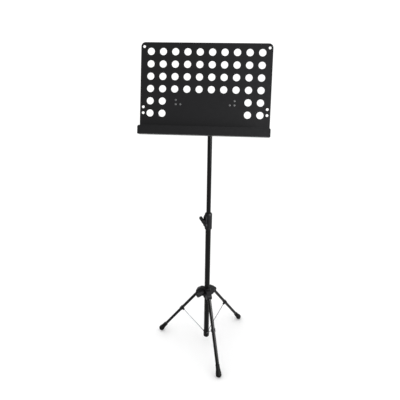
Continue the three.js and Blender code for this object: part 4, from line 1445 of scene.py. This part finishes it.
@dataclass
class Hub:
    """Three-lobed sliding hub with its lock knob. Sizes in mm."""

    collar: float = 17.0
    bottom: float = 254.0
    top: float = 308.0
    lobe_width: float = 23.0
    lobe_radius: float = 14.0
    web: float = 29.0
    drop: float = 20.0
    pivot_radius: float = 38.0
    screw: float = 3.0
    boss: float = 9.0
    boss_reach: float = 30.0
    column_bore: float = 12.35
    channel: float = 17.0
    leg_half_depth: float = 6.75
    knob: float = 10.0
    knob_length: float = 31.0
    knob_flutes: int = 6

    def lobe(self, pivot: float) -> bpy.types.Mesh:
        """Solid lobe in the plane of one leg, with rounded cheeks."""
        outline = [
            (4, pivot - self.drop),
            (self.web, pivot - self.drop),
            *arc((self.pivot_radius, pivot), self.lobe_radius, -QUARTER, QUARTER * 0.75, 20),
            (self.web, self.top - 3),
            (4, self.top - 3),
        ]
        return soft_edged(through(outline, self.lobe_width), 2.2, 5, 35.0)

    def channel_tool(self, pivot: float, open_angle: float) -> bpy.types.Mesh:
        """Room in which the leg's end turns."""
        room = self.leg_half_depth + 0.6
        reach = 3 * self.lobe_radius
        far = (
            self.pivot_radius + room * math.cos(open_angle) + reach * math.sin(open_angle),
            pivot + room * math.sin(open_angle) - reach * math.cos(open_angle),
        )
        inner = self.web - 2 * HAIR
        outline = [
            (inner, self.bottom - PAST),
            (far[0], self.bottom - PAST),
            far,
            *arc((self.pivot_radius, pivot), room, open_angle, math.pi * 0.75, 14),
            (inner, pivot),
        ]
        return through(outline, self.channel)

    def casting(self, headings: Sequence[float], pivot: float, open_angle: float) -> None:
        """The hub: collar, three forked lobes and the lock boss."""
        collar = turned(rounded_profile(self.bottom, self.top, self.collar, 2.5, 5), 96)
        lock = joint("hub_lock_turn")
        lock_place = (
            Axis.X.value,
            spin(heading_of(lock["axis"])),
            shift(z=lock["pos_m"][2] / MM),
        )
        parts = [moved(self.lobe(pivot), spin(heading)) for heading in headings]
        rim = arc((self.boss - 1.2, self.boss_reach - 1.2), 1.2, 0, QUARTER, 4)
        boss = turned([(0, 0), (self.boss, 0), *rim, (0, self.boss_reach)])
        parts.append(moved(boss, *lock_place))
        tools = [bore_tool(self.column_bore, self.bottom - PAST, self.top + PAST, 96)]
        for heading in headings:
            tools.append(moved(self.channel_tool(pivot, open_angle), spin(heading)))
        screw_bore = bore_tool(self.screw + RUN, self.column_bore / 2, self.boss_reach + PAST)
        tools.append(moved(screw_bore, *lock_place))
        mesh = carved(carved(collar, Cut.JOIN, *parts), Cut.REMOVE, *tools)
        Piece("leg_hub_casting", "hub", NYLON, ["leg_hub"]).add(mesh, COLUMN_FRAME)

    def lock_knob(self) -> None:
        """Fluted knob on its screw."""
        lock = joint("hub_lock_turn")
        place = radial_frame(heading_of(lock["axis"]), lock["pos_m"][2])
        grip = fluted_grip(self.knob, self.knob_length, self.knob_flutes, 1.8)
        bore = bore_tool(self.screw + SNUG, -1, self.knob_length - 6)
        mesh = moved(carved(grip, Cut.REMOVE, bore), shift(z=self.boss_reach + GAP))
        Piece("hub_lock_grip", "hub_lock", NYLON, ["hub_knob"]).add(mesh, place)

    def build(self, headings: Sequence[float], pivot: float, open_angle: float) -> None:
        """Makes every piece of the hub."""
        self.casting(headings, pivot, open_angle)
        self.lock_knob()


# ---------------------------------------------------------------- legs


@dataclass
class Leg:
    """One leg with its plug, pin, foot, clip and strut.

    Sizes are in mm, in a frame on the leg's pivot whose -Z runs down the leg.
    """

    number: int
    half_width: float = 8.0
    half_depth: float = 6.75
    wall: float = 1.1
    plug_collar: float = 10.0
    plug_spigot: float = 22.0
    ball: float = 12.7
    sole_cut: float = 0.7
    neck: float = 9.4
    foot_taper: float = 1.5
    foot_length: float = 42.0
    groove_depth: float = 0.5
    socket_depth: float = 32.0
    tube_inset: float = 10.5
    hub_width: float = 23.0
    pin: float = 2.5
    clip_length: float = 14.0
    clip_band: float = 2.0
    ear: float = 1.6
    ear_radius: float = 3.0
    ear_root: float = 4.0
    wire: float = 1.5
    eye: float = 3.2
    strut_pin: float = 1.25
    strut_foot_radius: float = 13.5
    strut_foot_height: float = 52.0

    def __post_init__(self) -> None:
        """Works out the leg's frame, its length and its strut from the joints and the foot's sole."""
        hinge = joint(f"leg_fold_{self.number}")
        self.pivot = Vector(hinge["pos_m"])
        self.heading = heading_of(hinge["axis"]) - QUARTER
        sole = Vector(mount(f"foot_sole_{self.number}")["pos_m"])
        pivot_radius = (self.pivot - COLUMN_AXIS).xy.length / MM
        run = (sole - COLUMN_AXIS).xy.length / MM - pivot_radius
        rise = self.pivot.z / MM - (self.ball - self.sole_cut)
        self.length = math.hypot(run, rise)
        self.angle = math.atan2(run, rise)
        upright = Matrix.Translation(self.pivot) @ spin(self.heading)
        self.place = upright @ spin(-self.angle, "Y") @ TO_METRES
        self.pin_place = upright @ TO_METRES
        strut_top = Vector(joint(f"strut_fold_{self.number}")["pos_m"])
        top_radius = (strut_top - COLUMN_AXIS).xy.length / MM
        strut_run = top_radius - self.strut_foot_radius
        strut_rise = strut_top.z / MM - self.strut_foot_height
        self.strut_length = math.hypot(strut_run, strut_rise)
        strut_upright = Matrix.Translation(strut_top) @ spin(self.heading)
        self.strut_place = strut_upright @ spin(math.atan2(strut_run, strut_rise), "Y") @ TO_METRES
        self.clip_at = self.place.inverted() @ strut_top

    def node(self, name: str) -> str:
        """Name of this leg's copy of a piece."""
        return f"{name}_{self.number}"

    def body(self) -> str:
        """CAD body of the leg."""
        return self.node("leg")

    def oval_about(self, distance: float) -> Outline:
        """Outline outside the leg's oval by a distance, or inside it by a negative one."""
        return oval_outline(self.half_depth + distance, self.half_width + distance)

    def tube(self) -> None:
        """Oval steel tube."""
        low = -(self.length - self.tube_inset)
        mesh = oval_tube(self.half_depth, self.half_width, self.wall, low, -self.plug_collar - GAP)
        Piece(self.node("oval_leg"), self.body(), TUBE_COAT, [self.node("leg_tube")]).add(mesh, self.place)

    def plug(self) -> None:
        """Rounded end plug that turns on the leg pin."""
        outline = [
            (-self.half_depth, -self.plug_collar),
            (self.half_depth, -self.plug_collar),
            *arc((0, 0), self.half_depth, 0, math.pi, 24),
        ]
        block = through(outline, 2 * self.half_width + 2)
        oval = self.oval_about(0)
        column = prism(oval, -self.plug_collar - 1, self.half_depth + 1)
        inside = self.oval_about(-self.wall - SNUG)
        spigot = prism(inside, -self.plug_collar - self.plug_spigot, 1 - self.plug_collar)
        reach = self.half_width + PAST
        bore = moved(bore_tool(self.pin + RUN, -reach, reach), Axis.Y.value)
        mesh = carved(carved(carved(block, Cut.KEEP, column), Cut.JOIN, spigot), Cut.REMOVE, bore)
        mesh = soft_edged(mesh, 0.6, 3, 50.0)
        Piece(self.node("leg_end_plug"), self.body(), NYLON, [self.node("leg_plug")]).add(mesh, self.place)

    def hinge_pin(self) -> None:
        """Riveted pin through the hub's cheeks."""
        half = self.hub_width / 2 + SNUG
        mesh = moved(domed_pin(self.pin, -half, half, 4.4, 1.6), Axis.Y.value)
        Piece(self.node("leg_hinge_pin"), "hub", BLACK_ZINC, [self.node("leg_pin")]).add(mesh, self.pin_place)

    def foot(self) -> None:
        """Teardrop rubber foot, flat where it stands, with two grip rings at its neck."""
        top = -(self.length - self.foot_length)
        profile: Outline = [(0, -self.length - self.ball)]
        steps = 16
        for i in range(1, steps + 1):
            angle = QUARTER * i / steps
            profile.append((self.ball * math.sin(angle), -self.length - self.ball * math.cos(angle)))
        shoulders = 18
        for i in range(1, shoulders + 1):
            share = i / shoulders
            ease = ((1 + math.cos(math.pi * share)) / 2) ** self.foot_taper
            radius = self.neck + (self.ball - self.neck) * ease
            profile.append((radius, -self.length + (self.foot_length - 7) * share))
        groove = self.neck - self.groove_depth
        for ring in (top - 6.0, top - 3.0):
            profile += [(groove, ring + 0.2), (groove, ring + 0.9)]
            profile += [(self.neck, ring + 1.2), (self.neck, ring + 2.2)]
        profile += [(self.neck - 0.6, top), (0, top)]
        socket = prism(self.oval_about(SNUG), top - self.socket_depth, top + 1)
        side = 4 * self.ball
        floor = prism(square_outline(side), -side, 0.0)
        reach = Matrix.Translation((self.place @ Vector((0, 0, -self.length))).xy.to_3d())
        floor.transform(self.place.inverted() @ reach @ TO_METRES)
        mesh = carved(turned(profile, 72), Cut.REMOVE, socket, floor)
        Piece(self.node("rubber_foot"), self.body(), RUBBER, [self.node("foot")]).add(mesh, self.place)

    def clip(self) -> None:
        """Pressed band round the leg with two ears, and the pin through them."""
        x, z = self.clip_at.x, self.clip_at.z
        low, high = z - self.clip_length / 2, z + self.clip_length / 2
        band = prism(self.oval_about(SNUG + self.clip_band), low, high)
        ear_outline = [
            (-self.half_depth - 1, z - self.ear_root),
            (-self.half_depth - 1, z + self.ear_root),
            *arc((x, z), self.ear_radius, QUARTER, 1.5 * math.pi, 14),
        ]
        half_gap = self.wire + GAP
        ear_at = half_gap + self.ear / 2
        ears = [moved(through(ear_outline, self.ear), shift(y=side * ear_at)) for side in (-1, 1)]
        hollow = prism(self.oval_about(SNUG), low - 1, high + 1)
        mesh = soft_edged(carved(carved(band, Cut.JOIN, *ears), Cut.REMOVE, hollow), 0.35, 2, 45.0)
        body = self.body()
        Piece(self.node("strut_band_clip"), body, SHEET_COAT, [self.node("strut_clip")]).add(mesh, self.place)
        half = half_gap + self.ear + SNUG
        pin = moved(domed_pin(self.strut_pin, -half, half, 2.4, 1.0), Axis.Y.value, shift(x=x, z=z))
        Piece(self.node("strut_hinge_pin"), body, BLACK_ZINC, [self.node("strut_pin")]).add(pin, self.place)

    def strut(self) -> None:
        """Drawn wire with a flattened, pierced eye at each end."""
        root = self.strut_pin + 0.35
        full_from = self.eye + 5
        neck = 1.1
        rod = turned(
            [
                (0, -self.strut_length + root),
                (neck, -self.strut_length + root),
                (self.wire, -self.strut_length + full_from),
                (self.wire, -full_from),
                (neck, -root),
                (0, -root),
            ],
            32,
        )
        parts, bores = [], []
        reach = self.wire + PAST
        for z in (0, -self.strut_length):
            eye = turned(rounded_profile(-self.wire, self.wire, self.eye, 0.5), 40)
            parts.append(moved(eye, Axis.Y.value, shift(z=z)))
            bore = bore_tool(self.strut_pin + RUN, -reach, reach, 28)
            bores.append(moved(bore, Axis.Y.value, shift(z=z)))
        mesh = carved(carved(rod, Cut.JOIN, *parts), Cut.REMOVE, *bores)
        strut = self.node("strut")
        Piece(self.node("strut_wire"), strut, WIRE, [strut]).add(mesh, self.strut_place)

    def build(self) -> None:
        """Makes every piece of the leg."""
        self.tube()
        self.plug()
        self.hinge_pin()
        self.foot()
        self.clip()
        self.strut()


# ---------------------------------------------------------------- hidden CAD pieces


def dress_hidden_nodes() -> None:
    """Gives the inner pieces that stay as CAD nodes their finishes."""
    finishes = {
        ZINC: ["clamp_nut", "tip_screw", "tilt_knob_nut", "height_screw", "hub_nut", "hub_screw"],
        ACETAL: ["clamp_liner", "glide_bush", "hub_shoe"],
    }
    for finish, names in finishes.items():
        for name in names:
            node = frame["nodes"][name]
            node.data.materials.clear()
            node.data.materials.append(finish.material())
            log.info("%s keeps its CAD shape in %s", name, finish.name)


# ---------------------------------------------------------------- studio


@dataclass
class Studio:
    """Camera, floor and soft light. Lengths in metres, angles in degrees."""

    camera_place: tuple[float, float, float] = (0.102, -1.502, 1.373)
    yaw: float = -4.55
    pitch: float = 22.3
    roll: float = -0.55
    lens: float = 35.2
    sensor: float = 36.0
    floor_half: float = 30.0
    floor_gap: float = 0.0005
    surround: float = 1.13
    target: Vector = field(default_factory=lambda: Vector((0, 0, 0.65)))
    off_floor: Any = field(default_factory=lambda: bpy.data.collections.new("floor_off_the_lamps"))

    def camera(self) -> None:
        """Camera at a standing person's eye, looking down at the stand."""
        yaw, pitch, roll = (math.radians(a) for a in (self.yaw, self.pitch, self.roll))
        forward = Vector((math.sin(yaw) * math.cos(pitch), math.cos(yaw) * math.cos(pitch), -math.sin(pitch)))
        right = Vector((math.cos(yaw), -math.sin(yaw), 0))
        turn = Matrix.Rotation(roll, 3, forward)
        right, up = turn @ right, turn @ right.cross(forward)
        matrix = Matrix((right, up, -forward)).transposed().to_4x4()
        matrix.translation = self.camera_place
        data = bpy.data.cameras.new("camera")
        data.lens = self.lens
        data.sensor_width = self.sensor
        camera = in_scene("camera", data)
        camera.matrix_world = matrix
        bpy.context.scene.camera = camera

    def floor(self) -> None:
        """Wide pale floor just under the feet."""
        corners = [(x, y, -self.floor_gap) for x, y in square_outline(self.floor_half)]
        mesh = bpy.data.meshes.new("floor")
        mesh.from_pydata(corners, [], [(0, 1, 2, 3)])
        mesh.materials.append(FLOOR_PAPER.material())
        floor = in_scene("floor", mesh)
        self.off_floor.objects.link(floor)
        self.off_floor.collection_objects[0].light_linking.link_state = "EXCLUDE"

    def lamp(
        self, name: str, place: tuple[float, float, float], size: tuple[float, float], power: float
    ) -> None:
        """Adds a soft lamp that looks at the stand and leaves the floor to the even surround.

        Args:
            name: Name of the lamp.
            place: Where it stands.
            size: Width and height of its face.
            power: Its power in watts.
        """
        data = bpy.data.lights.new(name, "AREA")
        data.shape = "RECTANGLE"
        data.size, data.size_y = size
        data.energy = power
        lamp = in_scene(name, data)
        lamp.location = place
        lamp.rotation_euler = (self.target - Vector(place)).to_track_quat("-Z", "Y").to_euler()
        lamp.visible_camera = False
        lamp.light_linking.receiver_collection = self.off_floor

    def build(self) -> None:
        """Sets the studio up: an even white surround, a key from the right front and a panel to the right."""
        self.camera()
        self.floor()
        self.lamp("key", (1.9, -1.5, 2.1), (1.0, 1.0), 45.0)
        self.lamp("side", (1.45, -0.75, 1.15), (0.8, 1.0), 110.0)
        world = bpy.data.worlds.new("studio")
        world.use_nodes = True
        background = world.node_tree.nodes["Background"]
        background.inputs["Color"].default_value = linear("#ffffff")
        background.inputs["Strength"].default_value = self.surround
        bpy.context.scene.world = world
        bpy.context.scene.view_settings.view_transform = "Standard"


def main() -> None:
    """Builds the studio and every sub-assembly in order."""
    logging.basicConfig(level=logging.INFO, format="%(message)s")
    Studio().build()
    desk = Desk()
    legs = [Leg(number) for number in (1, 2, 3)]
    headings = [leg.heading for leg in legs]
    desk.build()
    TiltHead().build(desk)
    Column().build(headings)
    Hub().build(headings, legs[0].pivot.z / MM, legs[0].angle)
    for leg in legs:
        leg.build()
    dress_hidden_nodes()


if __name__ == "__main__":
    main()
